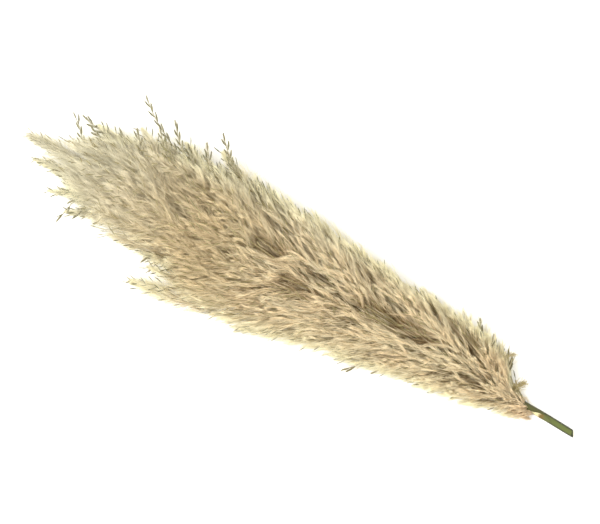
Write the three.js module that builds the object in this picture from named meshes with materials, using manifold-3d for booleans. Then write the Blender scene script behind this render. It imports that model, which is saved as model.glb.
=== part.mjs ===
// One plume of pampas grass, cut with a short length of its stem and lying on a table.
// Millimetres, +Z up. The stem and the plume lie along X, with the cut end towards +X and the plume's
// tip towards -X. The table is z = 0, and the origin is under the middle of the plume.
//
// Every place in the plume is given by three numbers:
//   s      the distance from the cut end, along the stem
//   angle  the direction round the stem: 0 is +Y, a quarter turn is up, three quarters is down
//   rho    the distance out from the stem, as a share of the way to the plume's outline
// A branch starts on the stem at some s, with rho 0, and reaches the outline, rho 1, a branch length
// further on. Branches that start at different places never meet, because at any s the one that started
// first is always further out. Each spray keeps to its own slice of angles and of starting places, so
// that no spray crosses another.

import * as THREE from "three";
import { mergeVertices } from "three/addons/utils/BufferGeometryUtils.js";
import Module from "manifold-3d";

// Where the cut end lies, which puts the origin under the middle of the whole plume
const CUT_END_X = 310;

// The line of the stem, as [s, value] stations: how far it lies to the side, and how high
const stemY = profile([0, 1.5], [60, 3], [150, 7], [300, 4], [450, 0], [620, 4]);
const stemZ = profile(
  [0, 3.2], [50, 9], [90, 15.5], [170, 28], [250, 36], [350, 42], [440, 44], [530, 40], [620, 30],
);

// The plume's outline: how far it reaches from the stem to each side, and above it
const reachPlusY = profile(
  [50, 9], [70, 22], [92, 36], [130, 45], [170, 46], [250, 52], [310, 62], [350, 67], [430, 76], [530, 76],
  [620, 66],
);
const reachMinusY = profile(
  [50, 5], [70, 13], [92, 20], [130, 33], [170, 42], [250, 52], [310, 66], [350, 73], [430, 77], [480, 68],
  [530, 58], [620, 54],
);
const reachUp = profile(
  [50, 5], [70, 15], [92, 24], [130, 34], [170, 41], [250, 47], [350, 53], [430, 55], [620, 50],
);

// Where the plume lies on the table, its underside is pressed flat
const UNDERSIDE = 1.25; // how much flatter than round the underside is
const SAG = 1.04; // how far down it would hang with no table, as a share of the stem's height
const LOWEST = -0.8; // the lowest tip, before the table cuts it flat
const LIMB_REST = 0.3; // how high the middle of a limb lies where it rests on the table
const TABLE = { length: 800, width: 400, thickness: 40 };

// The stem, which runs on inside the plume as its main stalk
const stemRadius = profile([0, 3.1], [50, 2.8], [110, 2.5], [260, 2.0], [398, 1.5]);
const STALK_END = 398;
const STEM_SIDES = 10;
const STEM_STEPS = 16;
const CUT_SLANT = 0.55; // how far the cut runs along the stem for each millimetre across it
const SEAT_GAP = 0.3; // between the stem and what it carries

// The papery bract at the foot of the plume
const BRACT = { from: 25, to: 47, angle: 2.75, halfWidth: 2.6, tipShare: 0.3, thickness: 0.8, curl: 2.6 };
const BRACT_FACES = { across: 3, along: 5 };

// Rings of sprays: where each leaves the stalk, how many there are round it, and how far they spread
const RINGS = [
  [49, 4, 1], [65, 4, 1], [81, 5, 1], [102, 5, 1], [127, 5, 1], [156, 5, 1], [188, 5, 1], [222, 5, 1],
  [258, 5, 1], [296, 5, 1], [335, 4, 0.95], [373, 5, 0.55],
];
const FIRST_LIFT = 20; // the room before the first ring, which the others have from the ring before
const RING_TURN = 0.62; // how far each ring is turned from the one before, as a share of its own step
const SLICE = 0.9; // how much of its own slice of angles a spray fills
const branchLength = profile(
  [49, 48], [65, 64], [102, 104], [188, 152], [258, 175], [335, 189], [400, 192],
);
const BEND = 0.3; // how much more steeply a branch leaves the stalk than it goes on
const RUN_ON = 0.6; // how steeply it goes on past the outline
const OVERHANG = { usual: 9, under: 8, leader: 34 }; // how far past the outline it ends
const UNDER_SINE = -0.5; // a spray that points lower than this lies under the plume
const LEADING_RINGS = 7; // from this ring on, the sprays that point sideways run furthest
const LEADER_TURN = 0.75; // how close to level such a spray points, in radians

// A spray's limbs: the branch itself, and one on each side, which parts from it some way out and lies
// deeper in the plume. Beyond its bare foot a limb is divided into stretches, and each stretch bears a
// tuft on either side. Swings and turns are shares of the spray's reach, and depths and lifts are shares
// of the distance to the ring of sprays before it.
const LIMB = { foot: 0.7, radius: 1.1, tipRadius: 0.7, stretch: 19, tufted: 0.9 };
const MIDDLE_LIMB = { swing: 0, leaves: 0, bare: 0.34, depth: 0 };
const SIDE_LIMB = { swing: 0.52, leaves: 0.26, bare: 0.24, depth: 0.3 };
const SIDE_LIMB_ENDS = [0.82, 0.95]; // as a share of the way to the middle limb's end
const AHEAD = 0.01; // the share of a limb over which its direction is taken
const OVER_TUFT = { turn: 0.32, lift: 0.6 }; // on the middle limb
const OUTER_TUFT = { turn: 0.42, lift: 0.4 }; // on the side limbs, turned away from the middle one
const INNER_TUFT = { turn: 0.3, lift: 0 }; // on the side limbs, passing beneath the middle one's tufts
const TUFT_LENGTH = 38;
const TUFT_DRAWS = { turn: [0.8, 1], lift: [0.7, 1], length: [0.85, 1.15] };
const SHORT_BRANCH = { length: 120, least: 0.5 }; // shorter branches have shorter tufts, down to a share

// The last spray stands on the end of the stalk. Every other limb of it keeps close to the middle.
const TIP = { limbs: 6, from: 402, end: 620, shorter: [20, 40], spread: [0.12, 0.36], bare: 0.3, lift: 40 };

const STRAW = { color: 0xd9c79c, roughness: 0.85, metalness: 0 };
const GREEN = { color: 0x6f7a3a, roughness: 0.55, metalness: 0 };
const PAPERY = { color: 0xe0cf97, roughness: 0.8, metalness: 0 };

const MERGE_TOLERANCE = 1e-4;
const SEED_STEP = 2654435761;
const DRAW_STEP = 0x6d2b79f5;

const wasm = await Module();
wasm.setup();

// A smooth line through [s, value] stations: each slope is that between the two neighbours
function profile(...stations) {
  const last = stations.length - 1;
  const slopeAt = (k) => {
    const [s0, v0] = stations[Math.max(k - 1, 0)];
    const [s1, v1] = stations[Math.min(k + 1, last)];
    return (v1 - v0) / (s1 - s0);
  };
  return (s) => {
    if (s <= stations[0][0]) return stations[0][1];
    if (s >= stations[last][0]) return stations[last][1];
    const k = stations.findIndex(([at]) => at > s) - 1;
    const [s0, v0] = stations[k];
    const [s1, v1] = stations[k + 1];
    const span = s1 - s0;
    const t = (s - s0) / span;
    const rise = 3 * t ** 2 - 2 * t ** 3;
    const leaving = (t ** 3 - 2 * t ** 2 + t) * span * slopeAt(k);
    const arriving = (t ** 3 - t ** 2) * span * slopeAt(k + 1);
    return v0 + (v1 - v0) * rise + leaving + arriving;
  };
}

// Numbers from 0 to 1 that are the same on every run
function draws(seed) {
  let state = seed * SEED_STEP;
  return () => {
    state = (state + DRAW_STEP) | 0;
    let mixed = Math.imul(state ^ (state >>> 15), 1 | state);
    mixed = (mixed + Math.imul(mixed ^ (mixed >>> 7), 61 | mixed)) ^ mixed;
    return ((mixed ^ (mixed >>> 14)) >>> 0) / 2 ** 32;
  };
}

const mix = THREE.MathUtils.lerp;
const stemPoint = (s) => new THREE.Vector3(CUT_END_X - s, stemY(s), stemZ(s));

// How far out a branch that started at `from` has come when it reaches s
function outness(s, from) {
  const t = Math.max((s - from) / branchLength(from), 0);
  return t < 1 ? t * (1 + BEND - BEND * t) : 1 + RUN_ON * (t - 1);
}

// The point at s, in a direction round the stem, on the branch that started at `from`
function place({ s, angle, from, spread }) {
  const rho = spread * outness(s, from);
  const across = Math.cos(angle);
  const sine = Math.sin(angle);
  const up = sine > 0 ? sine : Math.max(sine * UNDERSIDE, -1);
  const reachY = across > 0 ? reachPlusY(s) : reachMinusY(s);
  const reachZ = up > 0 ? reachUp(s) : stemZ(s) * SAG;
  const point = stemPoint(s).add(new THREE.Vector3(0, rho * reachY * across, rho * reachZ * up));
  point.z = Math.max(point.z, LOWEST);
  return point;
}

// A closed geometry as a solid that can be joined and cut
function solidOf(geometry) {
  geometry.deleteAttribute("normal");
  geometry.deleteAttribute("uv");
  const merged = mergeVertices(geometry, MERGE_TOLERANCE);
  const mesh = new wasm.Mesh({
    numProp: 3,
    vertProperties: merged.getAttribute("position").array,
    triVerts: new Uint32Array(merged.index.array),
  });
  return new wasm.Manifold(mesh);
}

// A named mesh of a solid, placed at its own root
function meshOf(name, solid, root, finish) {
  const { vertProperties, triVerts } = solid.getMesh();
  const geometry = new THREE.BufferGeometry();
  geometry.setAttribute("position", new THREE.BufferAttribute(vertProperties, 3));
  geometry.setIndex(new THREE.BufferAttribute(triVerts, 1));
  geometry.translate(-root.x, -root.y, -root.z);
  geometry.computeVertexNormals();
  const mesh = new THREE.Mesh(geometry, new THREE.MeshStandardMaterial(finish));
  mesh.name = name;
  mesh.position.copy(root);
  return mesh;
}

// The stem with the stalk inside the plume, as one tapered tube whose cut end is slanted. With `extra`
// it is that much larger all round, which leaves a gap when it is cut out of what the stem carries.
function stemSolid(extra) {
  const shape = new THREE.CylinderGeometry(1, 1, 1, STEM_SIDES, STEM_STEPS);
  const position = shape.getAttribute("position");
  for (let i = 0; i < position.count; i++) {
    const t = position.getY(i) + 0.5;
    const s = t * STALK_END;
    const radius = stemRadius(s) + extra;
    const side = position.getX(i) * radius;
    const up = position.getZ(i) * radius;
    const slant = t === 0 ? CUT_SLANT * side : 0;
    const centre = stemPoint(s);
    position.setXYZ(i, centre.x - slant - extra * (2 * t - 1), centre.y + side, centre.z + up);
  }
  return solidOf(shape);
}

// The bract: a papery scale that hugs the stem, narrows, and bends away from it at its tip
function bractSolid() {
  const shape = new THREE.BoxGeometry(2, 1, 1, BRACT_FACES.across, BRACT_FACES.along, 1);
  const position = shape.getAttribute("position");
  for (let i = 0; i < position.count; i++) {
    const t = position.getY(i) + 0.5;
    const s = mix(BRACT.from, BRACT.to, t);
    const width = BRACT.halfWidth * mix(1, BRACT.tipShare, t ** 2);
    const angle = BRACT.angle - (position.getX(i) * width) / stemRadius(s);
    const middle = stemRadius(s) + SEAT_GAP + BRACT.thickness / 2 + BRACT.curl * t ** 3;
    const away = middle + position.getZ(i) * BRACT.thickness;
    const point = stemPoint(s).add(new THREE.Vector3(0, Math.cos(angle) * away, Math.sin(angle) * away));
    position.setXYZ(i, point.x, point.y, point.z);
  }
  return solidOf(shape);
}

// The three corners of a limb's section at a place in the plume: its ridge, which faces outwards, and
// its two edges. `ahead` is a place a little further along it.
function limbCorners(here, ahead, radius) {
  const centre = place(here);
  centre.z = Math.max(centre.z, LIMB_REST);
  const along = place(ahead).sub(centre).normalize();
  const across = new THREE.Vector3(0, -Math.sin(here.angle), Math.cos(here.angle));
  across.addScaledVector(along, -across.dot(along)).normalize();
  const out = new THREE.Vector3().crossVectors(along, across);
  const low = centre.clone().addScaledVector(out, -radius / 2);
  return [
    centre.clone().addScaledVector(out, radius),
    low.clone().addScaledVector(across, -radius),
    low.clone().addScaledVector(across, radius),
  ];
}

// One limb: a three-sided stalk with a flat inner side. Each stretch of its two outer sides is drawn out
// into a tuft, a pointed blade whose root is the whole of that side.
function limbSolid({ at, length, bare, tufts, scale }, draw) {
  const stretches = Math.max(2, Math.round((length * (LIMB.tufted - bare)) / LIMB.stretch));
  const shares = [0];
  for (let i = 0; i <= stretches; i++) shares.push(mix(bare, LIMB.tufted, i / stretches));
  const [left, right] = tufts.map(({ turn, lift }) => ({
    turn: turn * mix(...TUFT_DRAWS.turn, draw()),
    lift: lift * mix(...TUFT_DRAWS.lift, draw()),
    length: TUFT_LENGTH * scale * mix(...TUFT_DRAWS.length, draw()),
  }));

  const points = [];
  const faces = [[0, 2, 1]];
  shares.forEach((share) => {
    const radius = share > 0 ? mix(LIMB.radius, LIMB.tipRadius, share) : LIMB.foot;
    points.push(...limbCorners(at(share), at(share + AHEAD), radius));
  });
  const raiseTuft = ([a, b, c, d], share, { turn, lift, length: reach }) => {
    const apex = points.length;
    const root = at(share);
    faces.push([a, b, apex], [b, c, apex], [c, d, apex], [d, a, apex]);
    points.push(place({ ...root, s: root.s + reach, angle: root.angle + turn, from: root.from - lift }));
  };
  for (let ring = 0; ring < shares.length - 1; ring++) {
    const sideOf = (one, other) => [one, other, other + 3, one + 3].map((corner) => 3 * ring + corner);
    const sides = { left: sideOf(0, 1), inner: sideOf(1, 2), right: sideOf(2, 0) };
    const plain = ring === 0 ? Object.values(sides) : [sides.inner];
    plain.forEach(([a, b, c, d]) => faces.push([a, b, c], [a, c, d]));
    if (ring > 0) {
      raiseTuft(sides.left, shares[ring], left);
      raiseTuft(sides.right, shares[ring], right);
    }
  }
  const last = 3 * (shares.length - 1);
  for (let i = 0; i < 3; i++) faces.push([last + i, last + ((i + 1) % 3), points.length]);
  points.push(place(at(1)));

  const geometry = new THREE.BufferGeometry().setFromPoints(points);
  geometry.setIndex(faces.flat());
  return solidOf(geometry);
}

// A spray that leaves the side of the stalk: its middle limb and the two beside it, as one body
function spraySolid({ from, angle, spread, reach, overhang, lift }, draw) {
  const tip = from + branchLength(from) + overhang;
  const scale = THREE.MathUtils.clamp(branchLength(from) / SHORT_BRANCH.length, SHORT_BRANCH.least, 1);
  const limbs = [-1, 0, 1].map((side) => {
    const { swing, leaves, bare, depth } = side ? SIDE_LIMB : MIDDLE_LIMB;
    const start = mix(from, tip, leaves);
    const end = side ? mix(start, tip, mix(...SIDE_LIMB_ENDS, draw())) : tip;
    const at = (share) => {
      const parted = 1 - (1 - Math.min(share, 1)) ** 2;
      const turned = angle + side * swing * reach * parted;
      return { s: mix(start, end, share), angle: turned, from: from + depth * lift * parted, spread };
    };
    const tufts = [-1, 1].map((tuftSide) => {
      let kind = OVER_TUFT;
      if (side) kind = side === tuftSide ? OUTER_TUFT : INNER_TUFT;
      return { turn: tuftSide * kind.turn * reach, lift: kind.lift * lift };
    });
    return limbSolid({ at, length: end - start, bare, tufts, scale }, draw);
  });
  return wasm.Manifold.union(limbs);
}

// The spray on the end of the stalk: limbs all round it, as one body
function tipSolid(draw) {
  const reach = Math.PI / TIP.limbs;
  const tufts = [-1, 1].map((side) => ({ turn: side * OUTER_TUFT.turn * reach, lift: TIP.lift }));
  const limbs = [];
  for (let i = 0; i < TIP.limbs; i++) {
    const angle = (i * 2 * Math.PI) / TIP.limbs;
    const spread = TIP.spread[i % 2];
    const end = TIP.end - (i % 2) * mix(...TIP.shorter, draw());
    const at = (share) => ({ s: mix(STALK_END, end, share), angle, from: TIP.from, spread });
    limbs.push(limbSolid({ at, length: end - STALK_END, bare: TIP.bare, tufts, scale: 1 }, draw));
  }
  return wasm.Manifold.union(limbs);
}

// How far past the outline a spray of a ring ends, from the direction that it points in
function overhangOf(ring, angle) {
  const sine = Math.sin(angle);
  if (sine < UNDER_SINE) return OVERHANG.under;
  const level = Math.abs(sine) < Math.sin(LEADER_TURN);
  return ring >= LEADING_RINGS && level ? OVERHANG.leader : OVERHANG.usual;
}

function buildPlume() {
  const plume = new THREE.Group();
  const slab = new THREE.BoxGeometry(TABLE.length, TABLE.width, TABLE.thickness);
  slab.translate(0, 0, -TABLE.thickness / 2);
  const table = solidOf(slab);
  const stalk = stemSolid(SEAT_GAP);
  plume.add(meshOf("stem", stemSolid(0), stemPoint(0), GREEN));
  plume.add(meshOf("bract", bractSolid(), stemPoint(BRACT.from), PAPERY));

  const addSpray = (solid, from) => {
    const name = `spray_${String(plume.children.length - 1).padStart(2, "0")}`;
    plume.add(meshOf(name, solid.subtract(stalk).subtract(table), stemPoint(from), STRAW));
  };
  RINGS.forEach(([from, sprays, spread], ring) => {
    const lift = ring > 0 ? from - RINGS[ring - 1][0] : FIRST_LIFT;
    for (let i = 0; i < sprays; i++) {
      const angle = ((i + ring * RING_TURN) / sprays) * 2 * Math.PI;
      const reach = (SLICE * Math.PI) / sprays;
      const branch = { from, angle, spread, reach, overhang: overhangOf(ring, angle), lift };
      addSpray(spraySolid(branch, draws(plume.children.length)), from);
    }
  });
  addSpray(tipSolid(draws(plume.children.length)), STALK_END);
  return plume;
}

export default buildPlume();
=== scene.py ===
"""A cut plume of pampas grass lying on a pale table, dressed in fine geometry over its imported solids.

Shapes are worked out in millimetres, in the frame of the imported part, and go into the meshes in metres.
Every place in the plume is given by its distance s from the cut end, its angle round the stem (0 is +Y and
a quarter turn is up) and start, the s at which its branch left the stalk.
"""

import logging
import math
from collections.abc import Callable
from dataclasses import dataclass, field, fields, replace
from enum import Enum
from typing import ClassVar

import bpy
import numpy as np
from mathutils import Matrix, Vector


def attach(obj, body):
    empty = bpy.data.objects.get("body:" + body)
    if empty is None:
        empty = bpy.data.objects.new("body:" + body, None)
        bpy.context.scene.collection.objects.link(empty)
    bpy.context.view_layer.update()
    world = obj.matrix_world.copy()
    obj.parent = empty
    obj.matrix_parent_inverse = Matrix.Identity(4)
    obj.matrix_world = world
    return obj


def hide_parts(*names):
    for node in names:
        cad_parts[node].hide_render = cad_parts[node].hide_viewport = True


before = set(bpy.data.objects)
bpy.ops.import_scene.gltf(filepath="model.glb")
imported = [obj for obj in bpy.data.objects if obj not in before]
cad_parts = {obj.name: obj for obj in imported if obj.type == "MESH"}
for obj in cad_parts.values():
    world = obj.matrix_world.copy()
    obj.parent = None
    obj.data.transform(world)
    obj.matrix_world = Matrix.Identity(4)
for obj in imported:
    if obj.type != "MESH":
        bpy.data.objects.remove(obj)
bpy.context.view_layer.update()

LOG = logging.getLogger("pampas_plume")
MM = 0.001  # a millimetre, in metres
TURN = 2 * math.pi  # a full turn, in radians
BODY = "root"
Array = np.ndarray
Rng = np.random.Generator
Pair = tuple[float, float]
Triple = tuple[float, float, float]
Steps = tuple[tuple[float, ...], tuple[float, ...]]  # places, and the values there, for np.interp


class Slot(Enum):
    """The record's material slots."""

    STEM = "stem"
    BRACT = "bract"
    PLUME = "plume"


class Part(Enum):
    """What a fibre of the plume is, which the plume's finish colours differently."""

    HAIR = 0.0
    STALK = 0.5
    WISP = 0.78
    SPIKELET = 1.0


# Shape of the whole plume


@dataclass(frozen=True)
class Profile:
    """A smooth line through stations of (distance from the cut end, value), level past both ends."""

    stations: tuple[tuple[float, float], ...]

    def __call__(self, s: Array) -> Array:
        """The value at each s, by a cubic whose slope at a station is that between its two neighbours.

        Args:
            s: distances from the cut end, in millimetres.

        Returns:
            The values there, in the shape of s.
        """
        at, value = np.array(self.stations, float).T
        before = np.maximum(np.arange(len(at)) - 1, 0)
        after = np.minimum(np.arange(len(at)) + 1, len(at) - 1)
        slope = (value[after] - value[before]) / (at[after] - at[before])
        s = np.clip(s, at[0], at[-1])
        k = np.clip(np.searchsorted(at, s, side="right") - 1, 0, len(at) - 2)
        span = at[k + 1] - at[k]
        t = (s - at[k]) / span
        rise = 3 * t**2 - 2 * t**3
        leaving = (t**3 - 2 * t**2 + t) * span * slope[k]
        arriving = (t**3 - t**2) * span * slope[k + 1]
        return value[k] + (value[k + 1] - value[k]) * rise + leaving + arriving


@dataclass(frozen=True)
class PlumeShape:
    """The stem's line and the outlines that the branches and their hair follow, in millimetres.

    The reach profiles are the outline of the branches and the hair profiles that of the hair, by the
    distance s from the cut end. What hangs below the stem is widened by `underside` and comes down `sag`
    times the stem's height. A branch's way out is shaped by `bend` and `run_on`, and `soft` is how far hair
    may stand past its outline, as a share of it.
    """

    cut_end_x: float = 310.0
    stem_y: Profile = Profile(((0, 0.8), (30, 2.15), (60, 3), (150, 7), (300, 4), (450, 0), (620, 4)))
    stem_z: Profile = Profile(
        ((0, 3.55), (50, 9), (90, 15.5), (170, 28), (250, 36), (350, 42), (440, 44), (530, 40), (620, 30))
    )
    reach_plus_y: Profile = Profile((
        (50, 9), (70, 22), (92, 36), (130, 45), (170, 46), (250, 52), (310, 62), (350, 67), (430, 76),
        (530, 76), (620, 66),
    ))
    reach_minus_y: Profile = Profile((
        (50, 5), (70, 13), (92, 20), (130, 33), (170, 42), (250, 52), (310, 66), (350, 73), (430, 77),
        (480, 68), (530, 58), (620, 54),
    ))
    reach_up: Profile = Profile(
        ((50, 5), (70, 15), (92, 24), (130, 34), (170, 41), (250, 47), (350, 53), (430, 55), (620, 50))
    )
    branch_length: Profile = Profile(
        ((49, 48), (65, 64), (102, 104), (188, 152), (258, 175), (335, 189), (400, 192))
    )
    stem_radius: Profile = Profile(((0, 3.5), (15, 3.6), (50, 3.5), (110, 2.6), (260, 2.0), (398, 1.5)))
    underside: float = 1.25
    sag: float = 1.04
    bend: float = 0.3
    run_on: float = 0.6
    hair_plus_y: Profile = Profile((
        (50, 5), (56, 8), (68, 10), (79, 14), (85, 21), (90, 32), (96, 39), (108, 43), (130, 46), (160, 50),
        (200, 54), (260, 57), (320, 67), (380, 68), (412, 70), (437, 63), (460, 61), (480, 57), (505, 57),
        (520, 55), (532, 46), (557, 36), (575, 20), (592, 10), (622, 5),
    ))
    hair_minus_y: Profile = Profile((
        (38, 5), (44, 9), (50, 13), (60, 14), (72, 16), (85, 19), (115, 27), (145, 32), (175, 36), (205, 41),
        (235, 47), (265, 53), (295, 59), (325, 69), (355, 75), (412, 76), (424, 70), (434, 54), (444, 48),
        (490, 53), (528, 53), (545, 40), (565, 29), (580, 22), (603, 20), (613, 13), (624, 6),
    ))
    hair_up: Profile = Profile((
        (44, 7), (60, 14), (92, 27), (130, 37), (170, 44), (250, 50), (350, 56), (430, 58), (540, 50),
        (600, 30), (624, 10),
    ))
    soft: float = 0.14

    def beyond(self, point: Array) -> Array:
        """How far out points stand from the stem's line, where 1 is the hair's outline.

        The outline is half an ellipse above the stem's line at each s. Below it only the sides count.

        Args:
            point: the points, with x, y and z on the last axis.

        Returns:
            A number for each point.
        """
        s = self.cut_end_x - point[..., 0]
        rise = np.maximum(point[..., 2] - self.stem_z(s), 0)
        return np.hypot(self.sideways(point), rise / self.hair_up(s))

    def sideways(self, point: Array) -> Array:
        """How far to either side points stand, from 0 over the stem to 1 on the hair's outline.

        Args:
            point: the points, with x, y and z on the last axis.

        Returns:
            A number for each point.
        """
        s = self.cut_end_x - point[..., 0]
        side = point[..., 1] - self.stem_y(s)
        wide = np.where(side > 0, self.hair_plus_y(s) - self.stem_y(s), self.hair_minus_y(s) + self.stem_y(s))
        return np.abs(side) / wide

    def hold_in(self, point: Array, slack: Array) -> Array:
        """Draws in what stands past the hair's outline.

        An offset from the stem's line of x times the way to the outline stays as it is up to 1, and becomes
        1 + soft tanh((x - 1) / soft) past it.

        Args:
            point: points on fibres, of shape (fibres, points, 3).
            slack: the outline's size for each fibre, as a share.

        Returns:
            The points, in the same shape.
        """
        out = self.beyond(point) / slack[:, None]
        past = np.maximum(out - 1, 0)
        kept = np.minimum(out, 1) + self.soft * np.tanh(past / self.soft)
        share = (kept / np.maximum(out, 1e-6))[..., None]
        middle = self.stem_line(self.cut_end_x - point[..., 0])
        return middle + (point - middle) * share

    def stem_line(self, s: Array) -> Array:
        """The middle of the stem at each s."""
        return np.stack([self.cut_end_x - s, self.stem_y(s), self.stem_z(s)], axis=-1)

    def outness(self, s: Array, start: Array) -> Array:
        """How far out a branch has come at s, from 0 on the stalk to 1 on the outline.

        With t the share of its length that it has run, it is t (1 + bend - bend t) up to the outline, and
        it goes on past it at the slope run_on.

        Args:
            s: distances from the cut end.
            start: where each branch left the stalk.

        Returns:
            A number for each distance.
        """
        t = np.maximum((s - start) / self.branch_length(start), 0)
        return np.where(t < 1, t * (1 + self.bend - self.bend * t), 1 + self.run_on * (t - 1))

    def place(self, s: Array, angle: Array, start: Array, spread: Array) -> Array:
        """Points on branches: the stem's line, plus the outness times the reach in the angle's direction.

        The sine of an angle below the stem is made larger and cut off at 1, which flattens the underside.

        Args:
            s: distances from the cut end.
            angle: directions round the stem, in radians.
            start: where each branch left the stalk.
            spread: how far each branch may spread, as a share of the outline's reach.

        Returns:
            The points, with x, y and z on the last axis.
        """
        rho = spread * self.outness(s, start)
        across, sine = np.cos(angle), np.sin(angle)
        up = np.where(sine > 0, sine, np.maximum(sine * self.underside, -1))
        reach_y = np.where(across > 0, self.reach_plus_y(s), self.reach_minus_y(s))
        reach_z = np.where(up > 0, self.reach_up(s), self.stem_z(s) * self.sag)
        middle = self.stem_line(s)
        side = np.stack([np.zeros_like(rho), rho * reach_y * across, rho * reach_z * up], axis=-1)
        return middle + side


SHAPE = PlumeShape()
STALK_END = 398.0  # where the stalk stops, and the last spray takes over


# Meshes


@dataclass
class MeshParts:
    """Vertices, triangles and values for each vertex, gathered for one mesh, in millimetres."""

    points: list[Array] = field(default_factory=list)
    faces: list[Array] = field(default_factory=list)
    values: dict[str, list[Array]] = field(default_factory=dict)
    count: int = 0

    def add(self, points: Array, faces: Array, **values: Array) -> None:
        """Adds one set of vertices with its triangles.

        Args:
            points: the vertices, of shape (n, 3).
            faces: the triangles' corners, counted from the set's first vertex.
            values: the values of each named attribute at each vertex.
        """
        self.points.append(points)
        self.faces.append(faces + self.count)
        self.count += len(points)
        for name, value in values.items():
            self.values.setdefault(name, []).append(np.broadcast_to(value, (len(points),)))

    def build(self, name: str, smooth: bool = True) -> bpy.types.Object:
        """Makes the object, at the origin, with its place in its mesh.

        Args:
            name: the piece's name.
            smooth: whether its faces are shaded smooth.

        Returns:
            The new object, linked to the scene.
        """
        points = np.concatenate(self.points) * MM
        faces = np.concatenate(self.faces)
        mesh = bpy.data.meshes.new(name)
        mesh.vertices.add(len(points))
        mesh.vertices.foreach_set("co", points.astype(np.float32).ravel())
        mesh.loops.add(faces.size)
        mesh.loops.foreach_set("vertex_index", faces.astype(np.int32).ravel())
        mesh.polygons.add(len(faces))
        mesh.polygons.foreach_set("loop_start", np.arange(0, faces.size, 3, dtype=np.int32))
        mesh.polygons.foreach_set("use_smooth", np.full(len(faces), smooth))
        for attribute, value in self.values.items():
            layer = mesh.attributes.new(attribute, "FLOAT", "POINT")
            layer.data.foreach_set("value", np.concatenate(value).astype(np.float32))
        mesh.update(calc_edges=True)
        made = bpy.data.objects.new(name, mesh)
        bpy.context.scene.collection.objects.link(made)
        return made


def unit(vectors: Array) -> Array:
    """The vectors at length 1."""
    return vectors / np.maximum(np.linalg.norm(vectors, axis=-1, keepdims=True), 1e-9)


def alternating(n: int) -> Array:
    """-1 and 1 in turn, for things that stand to either side."""
    return np.where(np.arange(n) % 2, 1.0, -1.0)


def any_turn(rng: Rng, n: int) -> Array:
    """Angles drawn from a full turn, in radians."""
    return rng.uniform(0, TURN, n)


def round_stem(angle: Array) -> Array:
    """The unit vectors that lead round the stem at each angle."""
    return np.stack([np.zeros_like(angle), -np.sin(angle), np.cos(angle)], axis=-1)


def beside(path: Callable[[Array], Array], t: Array, step: float = 0.03) -> tuple[Array, Array, Array]:
    """Points on a curve, its directions there, and the level directions across it.

    Args:
        path: the curve, as points by its parameter.
        t: the parameters.
        step: how much further on the curve each direction aims.

    Returns:
        The points, the unit vectors along and the unit vectors across.
    """
    point = path(t)
    along = unit(path(t + step) - point)
    return point, along, unit(np.cross(along, [0, 0, 1.0]))


def spindle_faces(rings: int, sides: int) -> Array:
    """The triangles of a spindle: a fan at each pointed end, and two triangles for each side between rings.

    Its vertices are the root, the rings from root to tip, and the tip.

    Args:
        rings: how many rings it has.
        sides: how many corners a ring has.

    Returns:
        The triangles' corners, of shape (triangles, 3).
    """
    here = np.arange(sides)
    onward = (here + 1) % sides
    first, last, tip = 1, 1 + (rings - 1) * sides, 1 + rings * sides
    found = [np.stack([first + onward, first + here, np.zeros_like(here)], 1)]
    for ring in range(rings - 1):
        low, high = first + ring * sides, first + (ring + 1) * sides
        found.append(np.stack([low + here, low + onward, high + onward], 1))
        found.append(np.stack([low + here, high + onward, high + here], 1))
    found.append(np.stack([last + here, last + onward, np.full_like(here, tip)], 1))
    return np.concatenate(found)


def add_spindles(
    parts: MeshParts, path: Array, radius: Array, sides: int, roll: Array, **values: float | Array
) -> None:
    """Adds closed fibres that run along paths and come to a point at both ends.

    A ring's corner k is its middle plus the radius times (cos w, sin w) in the plane across the path, with
    w = roll + 2 pi k / sides.

    Args:
        parts: the mesh to add to.
        path: the points along each fibre, of shape (fibres, points, 3), with its two ends.
        radius: the radius at each point between the ends, of shape (fibres, points - 2).
        sides: how many sides a fibre has.
        roll: how far each fibre is turned about its path.
        values: one value for all, one for each fibre, or one for each point of the paths on two axes.
    """
    fibres, stations = path.shape[:2]
    if not fibres:
        return
    along = unit(path[:, 2:] - path[:, :-2])
    # Any direction does to start from, as long as it isn't along the path.
    helper = np.stack([np.sin(roll * 7), np.cos(roll * 11), np.cos(roll * 5) + 1.3], axis=-1)[:, None, :]
    across = unit(np.cross(along, helper))
    other = np.cross(along, across)
    turn = roll[:, None] + np.arange(sides) * TURN / sides
    cosine, sine = (f(turn)[:, None, :, None] for f in (np.cos, np.sin))
    ring = path[:, 1:-1, None, :] + radius[:, :, None, None] * (
        cosine * across[:, :, None, :] + sine * other[:, :, None, :]
    )
    corners = np.concatenate([path[:, :1], ring.reshape(fibres, -1, 3), path[:, -1:]], axis=1)
    faces = spindle_faces(stations - 2, sides)
    each = corners.shape[1]
    found = (np.arange(fibres)[:, None, None] * each + faces[None]).reshape(-1, 3)

    def spread_out(value: float | Array) -> Array:
        """A value for each vertex, from what one argument gives.

        Args:
            value: a number for all, for each fibre, or for each point of the paths.

        Returns:
            The values, in the order of the vertices.
        """
        value = np.asarray(value, float)
        if value.ndim < 2:
            return np.repeat(np.broadcast_to(value, fibres), each)
        value = np.broadcast_to(value, (fibres, stations))
        middle = np.repeat(value[:, 1:-1], sides, axis=1)
        return np.concatenate([value[:, :1], middle, value[:, -1:]], axis=1).ravel()

    values.setdefault("edge", 0.0)
    shaped = {name: spread_out(value) for name, value in values.items()}
    parts.add(corners.reshape(-1, 3), found, **shaped)


# Shader expressions


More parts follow.
